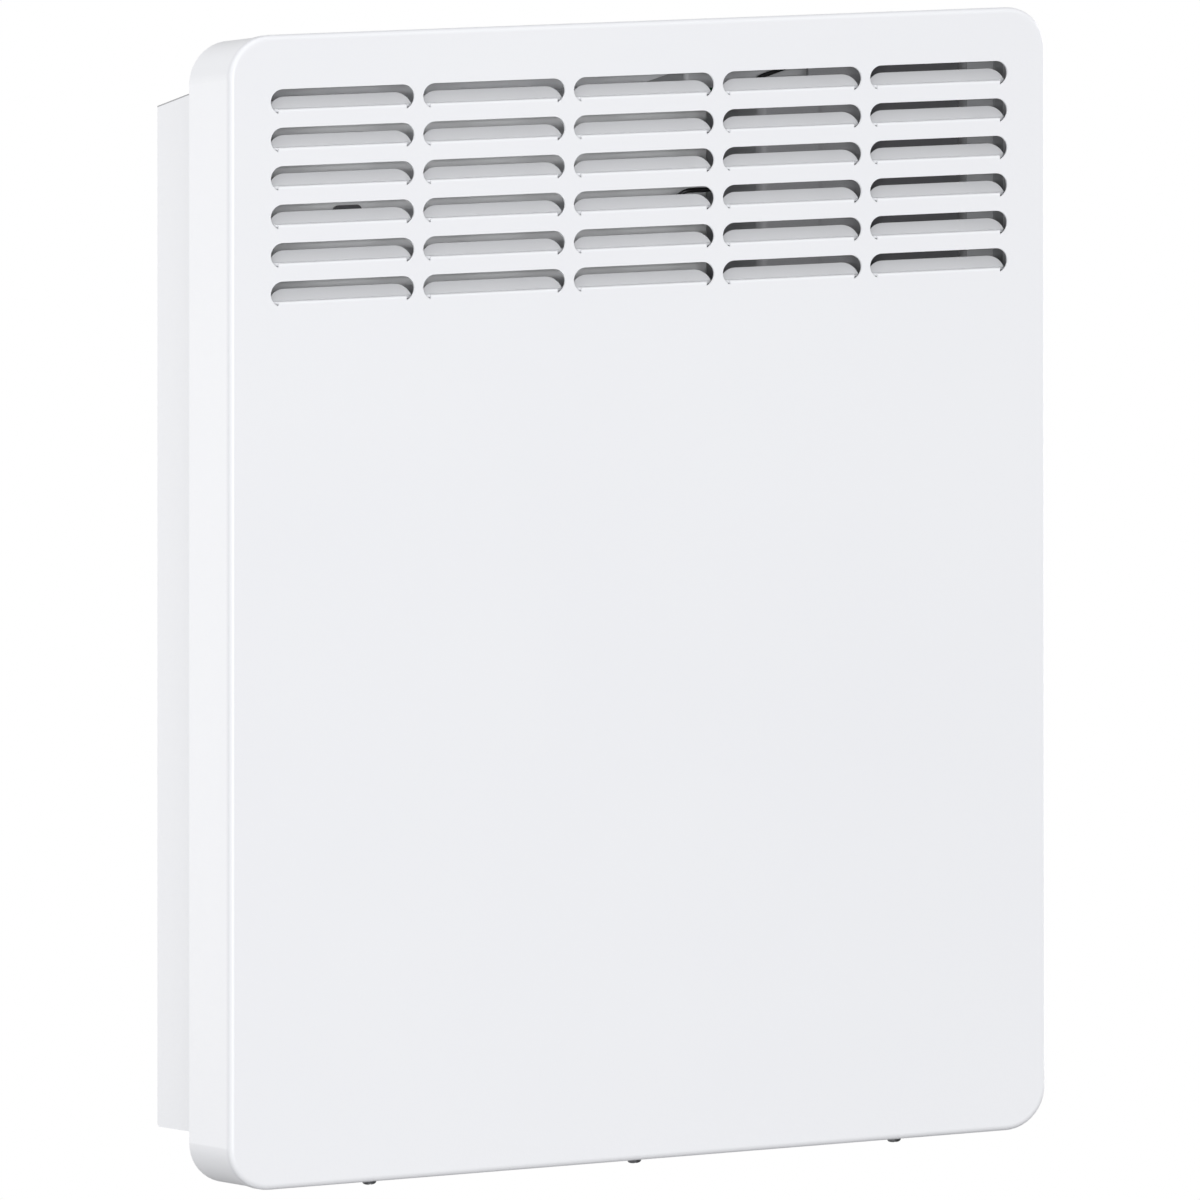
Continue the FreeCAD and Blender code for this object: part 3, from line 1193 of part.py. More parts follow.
def control_box():
    body = new_body("control_box")
    base = new_sketch(body, "XY", box_bottom)
    rounded(base, box_left, box_right, -S.box_front, -S.box_back, S.box_corner)
    pad(body, base, S.box_height)
    step_front = S.box_front - S.box_step
    step = new_sketch(body, "XY", box_bottom)
    rectangle(step, box_step_place, box_right, -S.box_front, -step_front)
    pocket(body, step, S.box_height, "ahead")
    hollow = new_sketch(body, "XY", box_bottom + S.box_wall)
    wall = S.box_wall
    polygon(hollow, [
        (box_left + wall, -(S.box_front - wall)), (box_step_place - wall, -(S.box_front - wall)),
        (box_step_place - wall, -(step_front - wall)), (box_right - wall, -(step_front - wall)),
        (box_right - wall, -(S.box_back + wall)), (box_left + wall, -(S.box_back + wall))])
    pocket(body, hollow, S.box_height, "ahead")
    screen = new_sketch(body, "XY", box_bottom + S.box_height)
    rectangle(screen, box_step_place - wall, box_right, -step_front, -(step_front - wall))
    pad(body, screen, S.box_screen)
    posts = new_sketch(body, "XY", box_bottom + wall)
    for x in board_post_x:
        for depth in board_post_depth:
            circle(posts, x, -depth, S.post_radius)
    pad(body, posts, S.power_board_rise)
    bosses = new_sketch(body, "XZ", S.box_back)
    for x in box_boss_places:
        circle(bosses, x, box_boss_height, S.boss_radius)
    pad(body, bosses, S.box_back - rear_panel_front, "behind")
    boss_holes = new_sketch(body, "XZ", rear_panel_front)
    for x in box_boss_places:
        circle(boss_holes, x, box_boss_height, tapped)
    pocket(body, boss_holes, S.box_back - rear_panel_front + wall, "ahead")
    entries = new_sketch(body, "XY", box_bottom)
    for x, depth in box_entries:
        circle(entries, x, -depth, S.wire_radius + S.wire_play)
    pocket(body, entries, wall * 2, "ahead")
    side_entry = new_sketch(body, "YZ", box_left)
    circle(side_entry, -S.fuse_entry_depth, fuse_entry_height, S.lead_radius + S.wire_play)
    pocket(body, side_entry, wall * 2, "ahead")

    board_low = box_bottom + wall + S.power_board_rise
    board_top = board_low + S.board_thick
    board_left = box_middle - S.power_board_width / 2
    node(block("power_board", (board_left, board_left + S.power_board_width),
               (-(board_back + S.power_board_depth), -board_back), (board_low, board_top)))
    relay_left = board_left + S.board_margin
    relay_back = board_back + S.board_margin
    node(block("power_relay", (relay_left, relay_left + S.relay_length),
               (-(relay_back + S.relay_width), -relay_back), (board_top, board_top + S.relay_height)))
    node(rod("capacitor", (box_middle + S.capacitor_radius, -(relay_back + S.capacitor_radius), board_top), "z",
             S.capacitor_radius, S.capacitor_height))
    return board_top


# Control panel: fascia, window, display, buttons and board, square to the housing's sloping top

def on_top(thing):
    """Stands a control piece on the sloping top, at the middle of the control panel."""
    thing.Placement.Rotation = Rotation(Vector(-1, 0, 0), math.degrees(math.atan(top_slope.number)))
    thing.setExpression("Placement.Rotation.Axis.x", "-1")
    thing.setExpression("Placement.Rotation.Angle", f"atan({top_slope.text})")
    place(thing, panel_middle, -panel_depth, housing_top(panel_depth))
    return thing


def centred(sketch, x, length, width, radius):
    rounded(sketch, x - length / 2, x + length / 2, -width / 2, width / 2, radius)


def control_panel():
    fascia = on_top(new_body("control_fascia"))
    bezel = new_sketch(fascia, "XY")
    centred(bezel, ZERO, S.bezel_length, bezel_width, S.bezel_corner)
    pad(fascia, bezel, S.bezel_height)
    round_edges(fascia, S.bezel_edge, lambda edge: lies_at(edge, "Z", S.bezel_height))
    skirt = new_sketch(fascia, "XY")
    inner_length, inner_width = skirt_length - 2 * S.skirt_wall, skirt_width - 2 * S.skirt_wall
    centred(skirt, ZERO, skirt_length, skirt_width, S.button_corner)
    centred(skirt, ZERO, inner_length, inner_width, S.button_corner / 2)
    pad(fascia, skirt, S.skirt_height, "behind")
    window_x = -S.window_place
    recess = new_sketch(fascia, "XY", S.bezel_height)
    centred(recess, window_x, S.window_length + 2 * S.window_play, S.window_width + 2 * S.window_play, S.button_corner)
    pocket(fascia, recess, S.window_thick)
    opening = new_sketch(fascia, "XY", S.bezel_height)
    centred(opening, window_x, S.window_length - 2 * S.window_ledge, S.window_width - 2 * S.window_ledge,
            S.button_corner)
    for x in button_places:
        centred(opening, x, S.button_width + 2 * S.button_play, S.button_length + 2 * S.button_play,
                S.button_corner + S.button_play)
    pocket(fascia, opening, S.bezel_height)

    window = on_top(new_body("display_window"))
    pane = new_sketch(window, "XY", S.bezel_height - S.window_thick)
    centred(pane, window_x, S.window_length, S.window_width, S.button_corner - S.window_play)
    pad(window, pane, S.window_thick)

    module = on_top(new_body("display_module"))
    screen = new_sketch(module, "XY", -S.skirt_height)
    centred(screen, window_x, S.window_length, S.window_width, S.button_corner / 2)
    pad(module, screen, S.skirt_height)

    board = on_top(new_body("control_board"))
    outline = new_sketch(board, "XY", -S.skirt_height)
    centred(outline, ZERO, skirt_length, skirt_width, S.button_corner)
    pad(board, outline, S.board_thick, "behind")

    keys = on_top(new_body("key_switches"))
    key = new_sketch(keys, "XY", -S.skirt_height)
    half = S.key_size / 2
    rectangle(key, button_places[0] - half, button_places[0] + half, -half, half)
    circle(key, button_places[0], ZERO, S.stem_radius + S.key_hole_play)
    one = pad(keys, key, S.key_height)
    grid(keys, [one], "X", S.button_pitch, as_size(len(button_places)))

    for name, x in zip(("button_menu", "button_minus", "button_plus", "button_ok"), button_places):
        button = on_top(new_body(name))
        cap = new_sketch(button, "XY", -S.button_seat_gap)
        centred(cap, x, S.button_width, S.button_length, S.button_corner)
        pad(button, cap, S.bezel_height + S.button_proud + S.button_seat_gap)
        button_top = S.bezel_height + S.button_proud
        round_edges(button, S.button_edge, lambda edge: lies_at(edge, "Z", button_top))
        flange = new_sketch(button, "XY", -S.button_seat_gap)
        centred(flange, x, S.button_width + 2 * S.button_flange_rim, S.button_length + 2 * S.button_flange_rim,
                S.button_corner)
        pad(button, flange, S.button_flange, "behind")
        stem = new_sketch(button, "XY", -(S.button_seat_gap + S.button_flange))
        circle(stem, x, ZERO, S.stem_radius)
        pad(button, stem, S.stem_length, "behind")


# Mains rocker switch, snapped into the housing's right side

def mains_switch():
    body = new_body("switch_body")

    def face(x, height, width, radius):
        sketch = new_sketch(body, "YZ", x)
        rounded(sketch, -panel_depth - width / 2, -panel_depth + width / 2, switch_height - height / 2,
                switch_height + height / 2, radius)
        return sketch

    bezel_face = housing_side + S.switch_bezel_thick
    bezel = face(housing_side, S.switch_bezel_height, S.switch_bezel_width, S.button_corner)
    pad(body, bezel, S.switch_bezel_thick)
    round_edges(body, S.bezel_edge, lambda edge: lies_at(edge, "X", bezel_face))
    barrel = face(housing_side, S.switch_barrel_height, S.switch_barrel_width, S.button_corner)
    pad(body, barrel, S.switch_barrel_length, "behind")
    well = face(bezel_face, S.rocker_height + 2 * S.rocker_end_gap, S.rocker_width + 2 * S.rocker_gap, S.rocker_gap)
    pocket(body, well, S.rocker_pin_inset + S.rocker_well)
    pin_holes = new_sketch(body, "XZ", panel_depth)
    circle(pin_holes, rocker_axis_x, switch_height, S.rocker_pin_radius + S.rocker_pin_play)
    pocket(body, pin_holes, S.rocker_width + 2 * (S.rocker_pin_length + S.rocker_gap), "both")

    rocker = new_body("switch_rocker")
    rocker.Placement.Rotation = Rotation(Vector(0, 1, 0), float(S.rocker_tilt))
    rocker.setExpression("Placement.Rotation.Axis.y", "1")
    bind(rocker, "Placement.Rotation.Angle", S.rocker_tilt)
    place(rocker, rocker_axis_x, -panel_depth, switch_height)
    half = S.rocker_height / 2
    profile = new_sketch(rocker, "XZ")
    polygon(profile, [
        (S.rocker_rise, -half), (S.rocker_rise - S.rocker_dip, ZERO), (S.rocker_rise, half), (ZERO, half),
        (-S.rocker_sole, half - S.rocker_sole), (-S.rocker_sole, S.rocker_sole - half), (ZERO, -half)])
    pad(rocker, profile, S.rocker_width, "both")
    pins = new_sketch(rocker, "XZ")
    circle(pins, ZERO, ZERO, S.rocker_pin_radius)
    pad(rocker, pins, S.rocker_width + 2 * S.rocker_pin_length, "both")

    spades = []
    for label, height in (("lower", switch_height - S.switch_spade), ("upper", switch_height + S.switch_spade)):
        spades.append(spade(f"switch_spade_{label}", switch_back - S.spade_length, panel_depth, height))
    node(group("switch_spades", spades))


# Mains inlet: cable gland and its nut, terminal block and earth point

def mains_inlet():
    x, y = inlet_place, -S.gland_depth
    flange_low = housing_low - S.gland_flange_thick
    flange = rod("gland_flange_disc", (x, y, flange_low), "z", S.gland_flange, S.gland_flange_thick)
    barrel = rod("gland_barrel_tube", (x, y, flange_low), "z", S.gland_barrel, S.gland_flange_thick + S.gland_length)
    bore = rod("gland_bore_hole", (x, y, flange_low), "z", S.gland_bore, S.gland_flange_thick + S.gland_length)
    node(cut("cable_gland", joined("gland_whole", [flange, barrel]), [bore]))
    hexagon = doc.addObject("Part::Prism", "gland_nut_hexagon")
    hexagon.Polygon = 6
    bind(hexagon, "Circumradius", S.gland_nut_radius)
    bind(hexagon, "Height", S.gland_nut_thick)
    place(hexagon, x, y, housing_floor)
    thread = rod("gland_nut_thread", (x, y, housing_floor), "z", S.gland_barrel + S.thread_play, S.gland_nut_thick)
    node(cut("gland_nut", hexagon, [thread]))

    body = new_body("terminal_block")
    outline = new_sketch(body, "XZ", rear_panel_front)
    low, high = block_middle - S.block_height / 2, block_middle + S.block_height / 2
    rectangle(outline, x - S.block_length / 2, x + S.block_length / 2, low, high)
    pad(body, outline, S.block_thick)
    wells = new_sketch(body, "XZ", rear_panel_front + S.block_thick)
    for pole in pole_places:
        circle(wells, pole, block_middle, S.pole_radius)
    pocket(body, wells, S.pole_well)
    for height, side in ((low, "ahead"), (high, "behind")):
        wire_holes = new_sketch(body, "XY", height)
        for pole in pole_places:
            circle(wire_holes, pole, -pole_depth, S.wire_hole_radius)
        pocket(body, wire_holes, S.pole_hole_depth, side)
    back_holes = new_sketch(body, "XZ", rear_panel_front)
    for place_x in block_screw_places:
        circle(back_holes, place_x, block_middle, tapped)
    pocket(body, back_holes, S.screw_length, "ahead")
    well_floor = rear_panel_front + S.block_thick - S.pole_well
    clamp_screws = [
        rod(f"pole_screw_{number}", (pole, -well_floor, block_middle), "-y", S.pole_radius - S.lip_gap, S.pole_well / 2)
        for number, pole in enumerate(pole_places, start=1)]
    node(group("terminal_screws", clamp_screws))

    eye = (x, -rear_panel_front, earth_height)
    ring = rod("earth_ring", eye, "-y", S.screw_head_radius + S.lip_gap, S.inner_sheet)
    tail = block("earth_tail", (x, x + S.earth_tail), (-(rear_panel_front + S.inner_sheet), -rear_panel_front),
                 (earth_height - S.wire_radius * 2, earth_height + S.wire_radius * 2))
    hole = rod("earth_hole", eye, "-y", clearance, S.inner_sheet)
    node(cut("earth_terminal", joined("earth_lug", [ring, tail]), [hole]))


# Room sensor in a clip that pegs into the housing's bottom

def room_sensor():
    x, y = inlet_place, -S.sensor_depth
    post = block("clip_post", (x - S.sensor_radius - S.clip_wall, x + S.sensor_radius + S.clip_wall),
                 (y - S.sensor_radius - S.clip_wall, y + S.sensor_radius + S.clip_wall),
                 (housing_floor, housing_floor + S.clip_height))
    peg = rod("clip_peg_pin", (x, y, housing_low), "z", S.clip_peg, S.housing_sheet)
    socket = rod("clip_socket", (x, y, housing_floor + S.clip_height - S.sensor_length), "z",
                 S.sensor_radius + S.tube_play, S.sensor_length)
    node(cut("sensor_clip", joined("clip_whole", [post, peg]), [socket]))
    foot = housing_floor + S.clip_height - S.sensor_length
    node(rod("room_sensor", (x, y, foot), "z", S.sensor_radius, S.sensor_length))
    return x, y, foot + S.sensor_length


# Wires, each from terminal to terminal

def wires(fuse_end, sensor_end, board_top):
    entry_top = box_bottom + S.box_wall + S.power_board_rise - S.wire_play
    ends = [(x, -depth, entry_top) for x, depth in box_entries]
    block_seat = block_middle + S.block_height / 2 - S.pole_hole_depth
    live, neutral, earth = [(pole, -pole_depth, block_seat) for pole in pole_places]
    switch_tip = switch_back - S.spade_length
    lower = (switch_tip, -panel_depth, switch_height - S.switch_spade)
    upper = (switch_tip, -panel_depth, switch_height + S.switch_spade)
    lane = partition_place + S.wire_lane

    def along(point, x=0, y=0, z=0):
        return point[0] + x, point[1] + y, point[2] + z

    def into_box(number):
        return [along(ends[number], z=-S.wire_entry), ends[number]]

    wire("wire_live", [live, (live[0], live[1], limiter_height), (lane, lower[1], ZERO), (lane, lower[1], lower[2]),
                       lower])
    wire("wire_switched", [upper, (lane, upper[1], upper[2]), (lane, upper[1], upper[2] + S.wire_exit), *into_box(0)])
    wire("wire_neutral", [neutral, (neutral[0], neutral[1], upper[2] + S.wire_sway), *into_box(2)])

    pin_tip = tube_end + S.pin_length
    back_pin, front_pin = [(pin_tip, -depth, element_height) for depth in leg_depths]
    limiter_tip = limiter_back + S.spade_length
    low_tip, high_tip = [(limiter_tip, -element_depth, limiter_height + side * limiter_spade) for side in (-1, 1)]
    wire("wire_element", [back_pin, along(back_pin, x=S.wire_exit),
                          along(back_pin, x=S.wire_exit, y=-S.wire_sway, z=S.fin_height), along(low_tip, x=S.wire_exit),
                          low_tip])
    wire("wire_limiter", [high_tip, along(high_tip, x=S.wire_exit),
                          (high_tip[0] + S.wire_exit, high_tip[1] - S.wire_sway, switch_height), *into_box(3)])
    wire("wire_return", [front_pin, along(front_pin, x=S.wire_exit),
                         (front_pin[0] + S.wire_exit, front_pin[1], switch_height), *into_box(4)])

    tail_end = (inlet_place + S.earth_tail, -(rear_panel_front + S.wire_radius + S.lip_gap), earth_height)
    wall_lane = housing_inside - S.wire_radius * 3
    wire("wire_earth", [earth, along(earth, z=S.wire_entry), (wall_lane, earth[1], earth[2] + S.wire_entry),
                        (wall_lane, tail_end[1], tail_end[2]), tail_end], bend=S.wire_tight_bend)
    turn_up = along(sensor_end, z=S.wire_exit)
    run = along(turn_up, y=-S.sensor_lane, z=S.sensor_lane)
    wire("sensor_lead", [sensor_end, turn_up, run, (run[0], run[1], switch_height), *into_box(1)], S.lead_radius)
    target = (box_left + S.box_wall, -S.fuse_entry_depth, fuse_entry_height)
    lane_top = (fuse_lane, -S.fuse_lane_depth, fuse_entry_height - S.fuse_loop_drop - S.wire_bend / 2)
    loop = (box_left - S.fuse_loop_reach, (target[1] - S.fuse_lane_depth) / 2, fuse_entry_height - S.fuse_loop_drop)
    lane_foot = (fuse_lane, -S.fuse_lane_depth, deflector_foot)
    wire("fuse_lead", [fuse_end, along(fuse_end, x=S.wire_sway), lane_foot, lane_top, loop,
                       along(target, x=-S.wire_exit), target], S.lead_radius, S.wire_tight_bend)

    # From the power board out over the control box, and back up to the control board's underside
    box_top = box_bottom + S.box_height
    foot = (box_left + S.display_lead_inset, -S.display_lead_depth, board_top)
    turn = along(foot, z=box_top + S.display_lead_rise - board_top)
    level = along(turn, x=S.display_lead_run, z=S.display_lead_climb)
    over = along(level, x=S.display_lead_level)
    dip = (over[0], over[1], box_top - S.display_lead_dip)
    end_y = -S.display_lead_end
    underside = (S.skirt_height + S.board_thick) * root(1 + top_slope * top_slope)
    end_height = housing_top(S.display_lead_end) - underside - S.lead_radius * top_slope
    wire("display_lead", [foot, turn, level, over, dip, (dip[0], end_y, dip[2]), (dip[0], end_y, end_height)],
         S.lead_radius, S.wire_tight_bend)


front_cover()
rear_housing()
rear_panel()
wall_bracket()
heating_element()
heat_shield()
partition()
deflector()
limiter()
fuse_end = thermal_fuse()
board_top = control_box()
control_panel()
mains_switch()
mains_inlet()
sensor_end = room_sensor()
wires(fuse_end, sensor_end, board_top)

# Screws and rivets

node(group("cover_screws", [
    screw(f"cover_screw_{number}", (side * S.cover_screw_pitch, -cover_screw_depth, -half_height + S.bead_step), "z")
    for number, side in enumerate((-1, 0, 1), start=1)]))
node(screw("bracket_lock_screw", (ZERO, -S.lock_screw_depth, tongue_top - S.bracket_sheet), "z"))
node(group("control_box_screws", [
    screw(f"control_box_screw_{number}", (x, -rear_panel_back, box_boss_height), "-y")
    for number, x in enumerate(box_boss_places, start=1)]))
node(group("terminal_block_screws", [
    screw(f"terminal_block_screw_{number}", (x, -rear_panel_back, block_middle), "-y")
    for number, x in enumerate(block_screw_places, start=1)]))
node(screw("earth_screw", (inlet_place, -(rear_panel_front + S.inner_sheet), earth_height), "y"))
rivet_grip = S.inner_sheet + S.housing_sheet + S.rivet_tail
sheet_grip = S.inner_sheet * 2 + S.rivet_tail
node(group("panel_rivets", [
    rivet(f"panel_rivet_{number}", (x, -(rear_panel_front + S.inner_sheet), z), "y", rivet_grip)
    for number, (x, z) in enumerate(panel_rivets, start=1)]))
node(group("shield_rivets", [
    rivet(f"shield_rivet_{number}", (x, -(shield_front + S.inner_sheet), z), "y", sheet_grip)
    for number, (x, z) in enumerate(bracket_rivets + [fuse_rivet], start=1)]))
node(group("limiter_rivets", [
    rivet(f"limiter_rivet_{number}", (limiter_face, -element_depth + side * S.limiter_rivet, limiter_height), "-x",
          S.inner_sheet + S.limiter_flange + S.rivet_tail)
    for number, side in enumerate((-1, 1), start=1)]))

doc.recompute()
for thing in doc.Objects:
    if "Invalid" in thing.State or "Error" in thing.State:
        raise RuntimeError(f"{thing.Name} failed: {thing.State}")
for piece in pieces:
    if piece.Shape.isNull() or not piece.Shape.isValid():
        raise RuntimeError(f"{piece.Label} has no valid shape")

os.makedirs("parts", exist_ok=True)
for piece in pieces:
    piece.Shape.exportStep(f"parts/{piece.Label}.step")
    print(piece.Label, len(piece.Shape.Solids), round(piece.Shape.Volume, 1))
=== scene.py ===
import math

import bmesh
import bpy
import numpy as np
from mathutils import Matrix, Vector


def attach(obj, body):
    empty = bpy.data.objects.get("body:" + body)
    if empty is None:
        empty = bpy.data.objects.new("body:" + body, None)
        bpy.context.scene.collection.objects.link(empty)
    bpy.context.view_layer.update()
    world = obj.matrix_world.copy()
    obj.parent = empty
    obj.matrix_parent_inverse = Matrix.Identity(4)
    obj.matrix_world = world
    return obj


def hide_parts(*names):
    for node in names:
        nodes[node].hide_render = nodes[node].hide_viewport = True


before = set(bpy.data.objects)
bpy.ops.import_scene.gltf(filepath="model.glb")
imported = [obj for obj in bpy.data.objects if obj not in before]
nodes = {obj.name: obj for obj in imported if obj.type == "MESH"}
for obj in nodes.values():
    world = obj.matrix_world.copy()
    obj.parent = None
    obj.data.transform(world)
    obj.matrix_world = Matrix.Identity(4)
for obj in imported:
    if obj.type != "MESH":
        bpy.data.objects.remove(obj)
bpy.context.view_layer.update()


# Wall bracket: a frame stamped from 1.5 mm steel, with four hooks bent out of it and a tongue under the
# heater. It is powder coated in a dull dark grey, and four wall screws hold it.

def new_finish(name, **sockets):
    """A material with one Principled shader, with plain numbers and colours set on the shader itself."""
    finish = bpy.data.materials.new(name)
    finish.use_nodes = True
    shader = finish.node_tree.nodes["Principled BSDF"]
    for socket, amount in sockets.items():
        shader.inputs[socket.replace("_", " ")].default_value = amount
    return finish, shader


def add_node(finish, kind, inputs=None, **settings):
    """A shader node with its settings. Each input is set to a number or linked to another node's output."""
    node = finish.node_tree.nodes.new(kind)
    for setting, amount in settings.items():
        setattr(node, setting, amount)
    for socket, amount in (inputs or {}).items():
        if isinstance(amount, bpy.types.NodeSocket):
            finish.node_tree.links.new(amount, node.inputs[socket])
        else:
            node.inputs[socket].default_value = amount
    return node


def link(finish, output, shader, socket):
    """Joins a node's output to a shader's socket."""
    finish.node_tree.links.new(output, shader.inputs[socket])


def mapped(finish, amount, start, end, low=0.0, high=1.0):
    """A pattern moved in a straight line from the span start to end onto the span low to high."""
    spans = {"Value": amount, "From Min": start, "From Max": end, "To Min": low, "To Max": high}
    return add_node(finish, "ShaderNodeMapRange", spans).outputs["Result"]


def linear(red, green, blue):
    """A colour picked from 0 to 255 as the linear colour that shaders use."""
    picked = np.array([red, green, blue]) / 255
    return (*np.where(picked < 0.04045, picked / 12.92, ((picked + 0.055) / 1.055) ** 2.4), 1.0)


def object_place(finish, stretch=(1, 1, 1)):
    """The point on the piece in metres, with each axis stretched for a pattern that runs in lines."""
    place = add_node(finish, "ShaderNodeTexCoord").outputs["Object"]
    return add_node(finish, "ShaderNodeMapping", {"Vector": place, "Scale": stretch}).outputs["Vector"]


def two_shades(finish, shader, amount, low, high):
    """Base colour that goes from the low shade to the high one with a pattern from 0 to 1."""
    shades = add_node(finish, "ShaderNodeMix", {"Factor": amount, 6: low, 7: high}, data_type="RGBA")
    link(finish, shades.outputs[2], shader, "Base Color")


def varied_roughness(finish, shader, amount, low, high):
    """Roughness that goes from low to high with a pattern from 0 to 1."""
    link(finish, mapped(finish, amount, 0.0, 1.0, low, high), shader, "Roughness")


def raised(finish, shader, amount, strength, metres):
    """Bump from a pattern, as high as the given metres at full strength."""
    bump = add_node(finish, "ShaderNodeBump", {"Height": amount, "Strength": strength, "Distance": metres})
    link(finish, bump.outputs["Normal"], shader, "Normal")


def dress(finish, *names):
    """Gives CAD nodes their finish."""
    for name in names:
        mesh = nodes[name].data
        mesh.materials.clear()
        mesh.materials.append(finish)


def powder_coat(name, low, high, roughness, peel):
    """Baked powder: two near shades in soft patches, and the fine orange peel of melted grains as bump."""
    finish, shader = new_finish(name)
    place = object_place(finish)
    patches = add_node(finish, "ShaderNodeTexNoise", {"Vector": place, "Scale": 9.0, "Detail": 2.0})
    two_shades(finish, shader, patches.outputs["Fac"], low, high)
    grains = add_node(finish, "ShaderNodeTexNoise",
                      {"Vector": place, "Scale": 620.0, "Detail": 2.0, "Roughness": 0.45})
    varied_roughness(finish, shader, grains.outputs["Fac"], roughness - 0.05, roughness + 0.05)
    raised(finish, shader, grains.outputs["Fac"], peel, 0.0002)
    return finish


dress(powder_coat("bracket_grey", linear(84, 84, 87), linear(94, 94, 97), 0.5, 0.2), "wall_bracket")


# Rear housing: a frame folded from 1 mm steel with an air inlet in its bottom, and a rear panel welded in
# as a tray. Both are powder coated white, thin and rough inside the housing. The flange and lip under the
# cover are a darker grey, and along the top of the sides runs a thin line of painted shade.

def combined(finish, operation, first, second):
    """Two patterns, or a pattern and a number, put together by a Math node's operation."""
    return add_node(finish, "ShaderNodeMath", {0: first, 1: second}, operation=operation).outputs[0]


def reached(finish, axis, start, end):
    """How far a point on the piece has come along an axis, from 0 at the start to 1 at the end, in metres."""
    place = add_node(finish, "ShaderNodeSeparateXYZ", {"Vector": object_place(finish)})
    return mapped(finish, place.outputs[axis], start, end)


def mirrored(finish, operation, axis, start, end):
    """The same on both sides of the middle: the two ways along an axis, put together by an operation."""
    return combined(finish, operation, reached(finish, axis, -start, -end), reached(finish, axis, start, end))


def tone_and_painted_shade(finish, amount, colour):
    """Another colour over the finish's own, by a pattern from 0 to 1, used for darker greys and for painted
    shade.
    """
    shader = finish.node_tree.nodes["Principled BSDF"]
    under = shader.inputs["Base Color"].links[0].from_socket
    overlay = add_node(finish, "ShaderNodeMix", {"Factor": amount, 6: under, 7: colour}, data_type="RGBA")
    link(finish, overlay.outputs[2], shader, "Base Color")


inside_start, inside_full = 0.1580, 0.1575
flange_grey_start, flange_grey_full = -0.0759, -0.0761
top_slope = 7 / 73.5
edge_shade_start, edge_shade_full = 0.2008, 0.2012
side_start, side_full = 0.1600, 0.1606
behind_flange_start, behind_flange_full = -0.0755, -0.0750
housing_white = powder_coat("housing_white", linear(236, 237, 241), linear(239, 240, 243), 0.42, 0.16)
inside = mirrored(housing_white, "MULTIPLY", "X", inside_start, inside_full)
link(housing_white, inside, housing_white.node_tree.nodes["Principled BSDF"], "Diffuse Roughness")
# The flange and lip under the cover are coloured a darker grey.
flange_grey = reached(housing_white, "Y", flange_grey_start, flange_grey_full)
tone_and_painted_shade(housing_white, flange_grey, linear(170, 171, 174))
# Painted shade: a thin dark grey line along the top edge of the sides, behind the flange.
up_to_top = add_node(housing_white, "ShaderNodeVectorMath",
                     {0: object_place(housing_white), 1: (0, top_slope, 1)}, operation="DOT_PRODUCT")
at_top = mapped(housing_white, up_to_top.outputs["Value"], edge_shade_start, edge_shade_full)
on_side = mirrored(housing_white, "MAXIMUM", "X", side_start, side_full)
on_side = combined(housing_white, "MULTIPLY", on_side, reached(housing_white, "Y", behind_flange_start, behind_flange_full))
edge_shade = combined(housing_white, "MULTIPLY", at_top, on_side)
tone_and_painted_shade(housing_white, edge_shade, linear(140, 141, 144))
dress(housing_white, "rear_housing")
dress(powder_coat("panel_white", linear(239, 240, 242), linear(243, 244, 246), 0.5, 0.16), "rear_panel")


# Inner sheets: heat shield, partition, deflector and brackets, bent from zinc-coated sheet and riveted in.
# The zinc froze in flat crystals a few millimetres wide, each with its own grey and its own shine.

def zinc_sheet(name, low, high):
    """Hot-dip zinc: one shade and one roughness per crystal cell, with faint rolling lines as bump."""
    finish, shader = new_finish(name, Metallic=0.85)
    crystals = add_node(finish, "ShaderNodeTexVoronoi",
                        {"Vector": object_place(finish), "Scale": 170.0, "Randomness": 1.0})
    two_shades(finish, shader, crystals.outputs["Color"], low, high)
    varied_roughness(finish, shader, crystals.outputs["Color"], 0.34, 0.52)
    lines = add_node(finish, "ShaderNodeTexNoise",
                     {"Vector": object_place(finish, (40, 900, 900)), "Scale": 1.0, "Detail": 3.0})
    raised(finish, shader, lines.outputs["Fac"], 0.15, 0.0001)
    return finish


dress(zinc_sheet("galvanised_sheet", linear(168, 171, 174), linear(206, 208, 210)),
      "heat_shield", "partition", "heat_deflector", "element_bracket", "fuse_clip")


# Heating element: a stainless tube bent double, packed with powder round a hot wire, with aluminium fins
# pressed on. Its two ends carry ceramic beads and welded pins. Use has tinted the tube straw and blue.

def drawn_metal(name, low, high, roughness, stretch):
    """Metal with lines along the way it was rolled or drawn: stretched noise for shade, shine and bump."""
    finish, shader = new_finish(name, Metallic=1.0)
    lines = add_node(finish, "ShaderNodeTexNoise",
                     {"Vector": object_place(finish, stretch), "Scale": 1.0, "Detail": 4.0, "Roughness": 0.6})
    two_shades(finish, shader, lines.outputs["Fac"], low, high)
    varied_roughness(finish, shader, lines.outputs["Fac"], roughness - 0.08, roughness + 0.08)
    raised(finish, shader, lines.outputs["Fac"], 0.1, 0.0001)
    return finish


dress(drawn_metal("tinted_sheath", linear(112, 98, 84), linear(134, 132, 138), 0.38, (30, 220, 220)),
      "heating_tube", "element_pins")
dress(drawn_metal("rolled_aluminium", linear(196, 198, 200), linear(222, 224, 226), 0.3, (500, 60, 1400)),
      "heating_fins", "limiter_cap")


def speckled(name, low, high, roughness, grain, depth):
    """A moulded or fired body: near shades in small specks, and the mould's grain as bump."""
    finish, shader = new_finish(name)
    specks = add_node(finish, "ShaderNodeTexNoise",
                      {"Vector": object_place(finish), "Scale": grain, "Detail": 3.0, "Roughness": 0.6})
    two_shades(finish, shader, specks.outputs["Fac"], low, high)
    varied_roughness(finish, shader, specks.outputs["Fac"], roughness - 0.06, roughness + 0.06)
    raised(finish, shader, specks.outputs["Fac"], depth, 0.0002)
    return finish


dress(speckled("bead_ceramic", linear(222, 216, 202), linear(236, 231, 220), 0.6, 1500.0, 0.25),
      "element_beads")


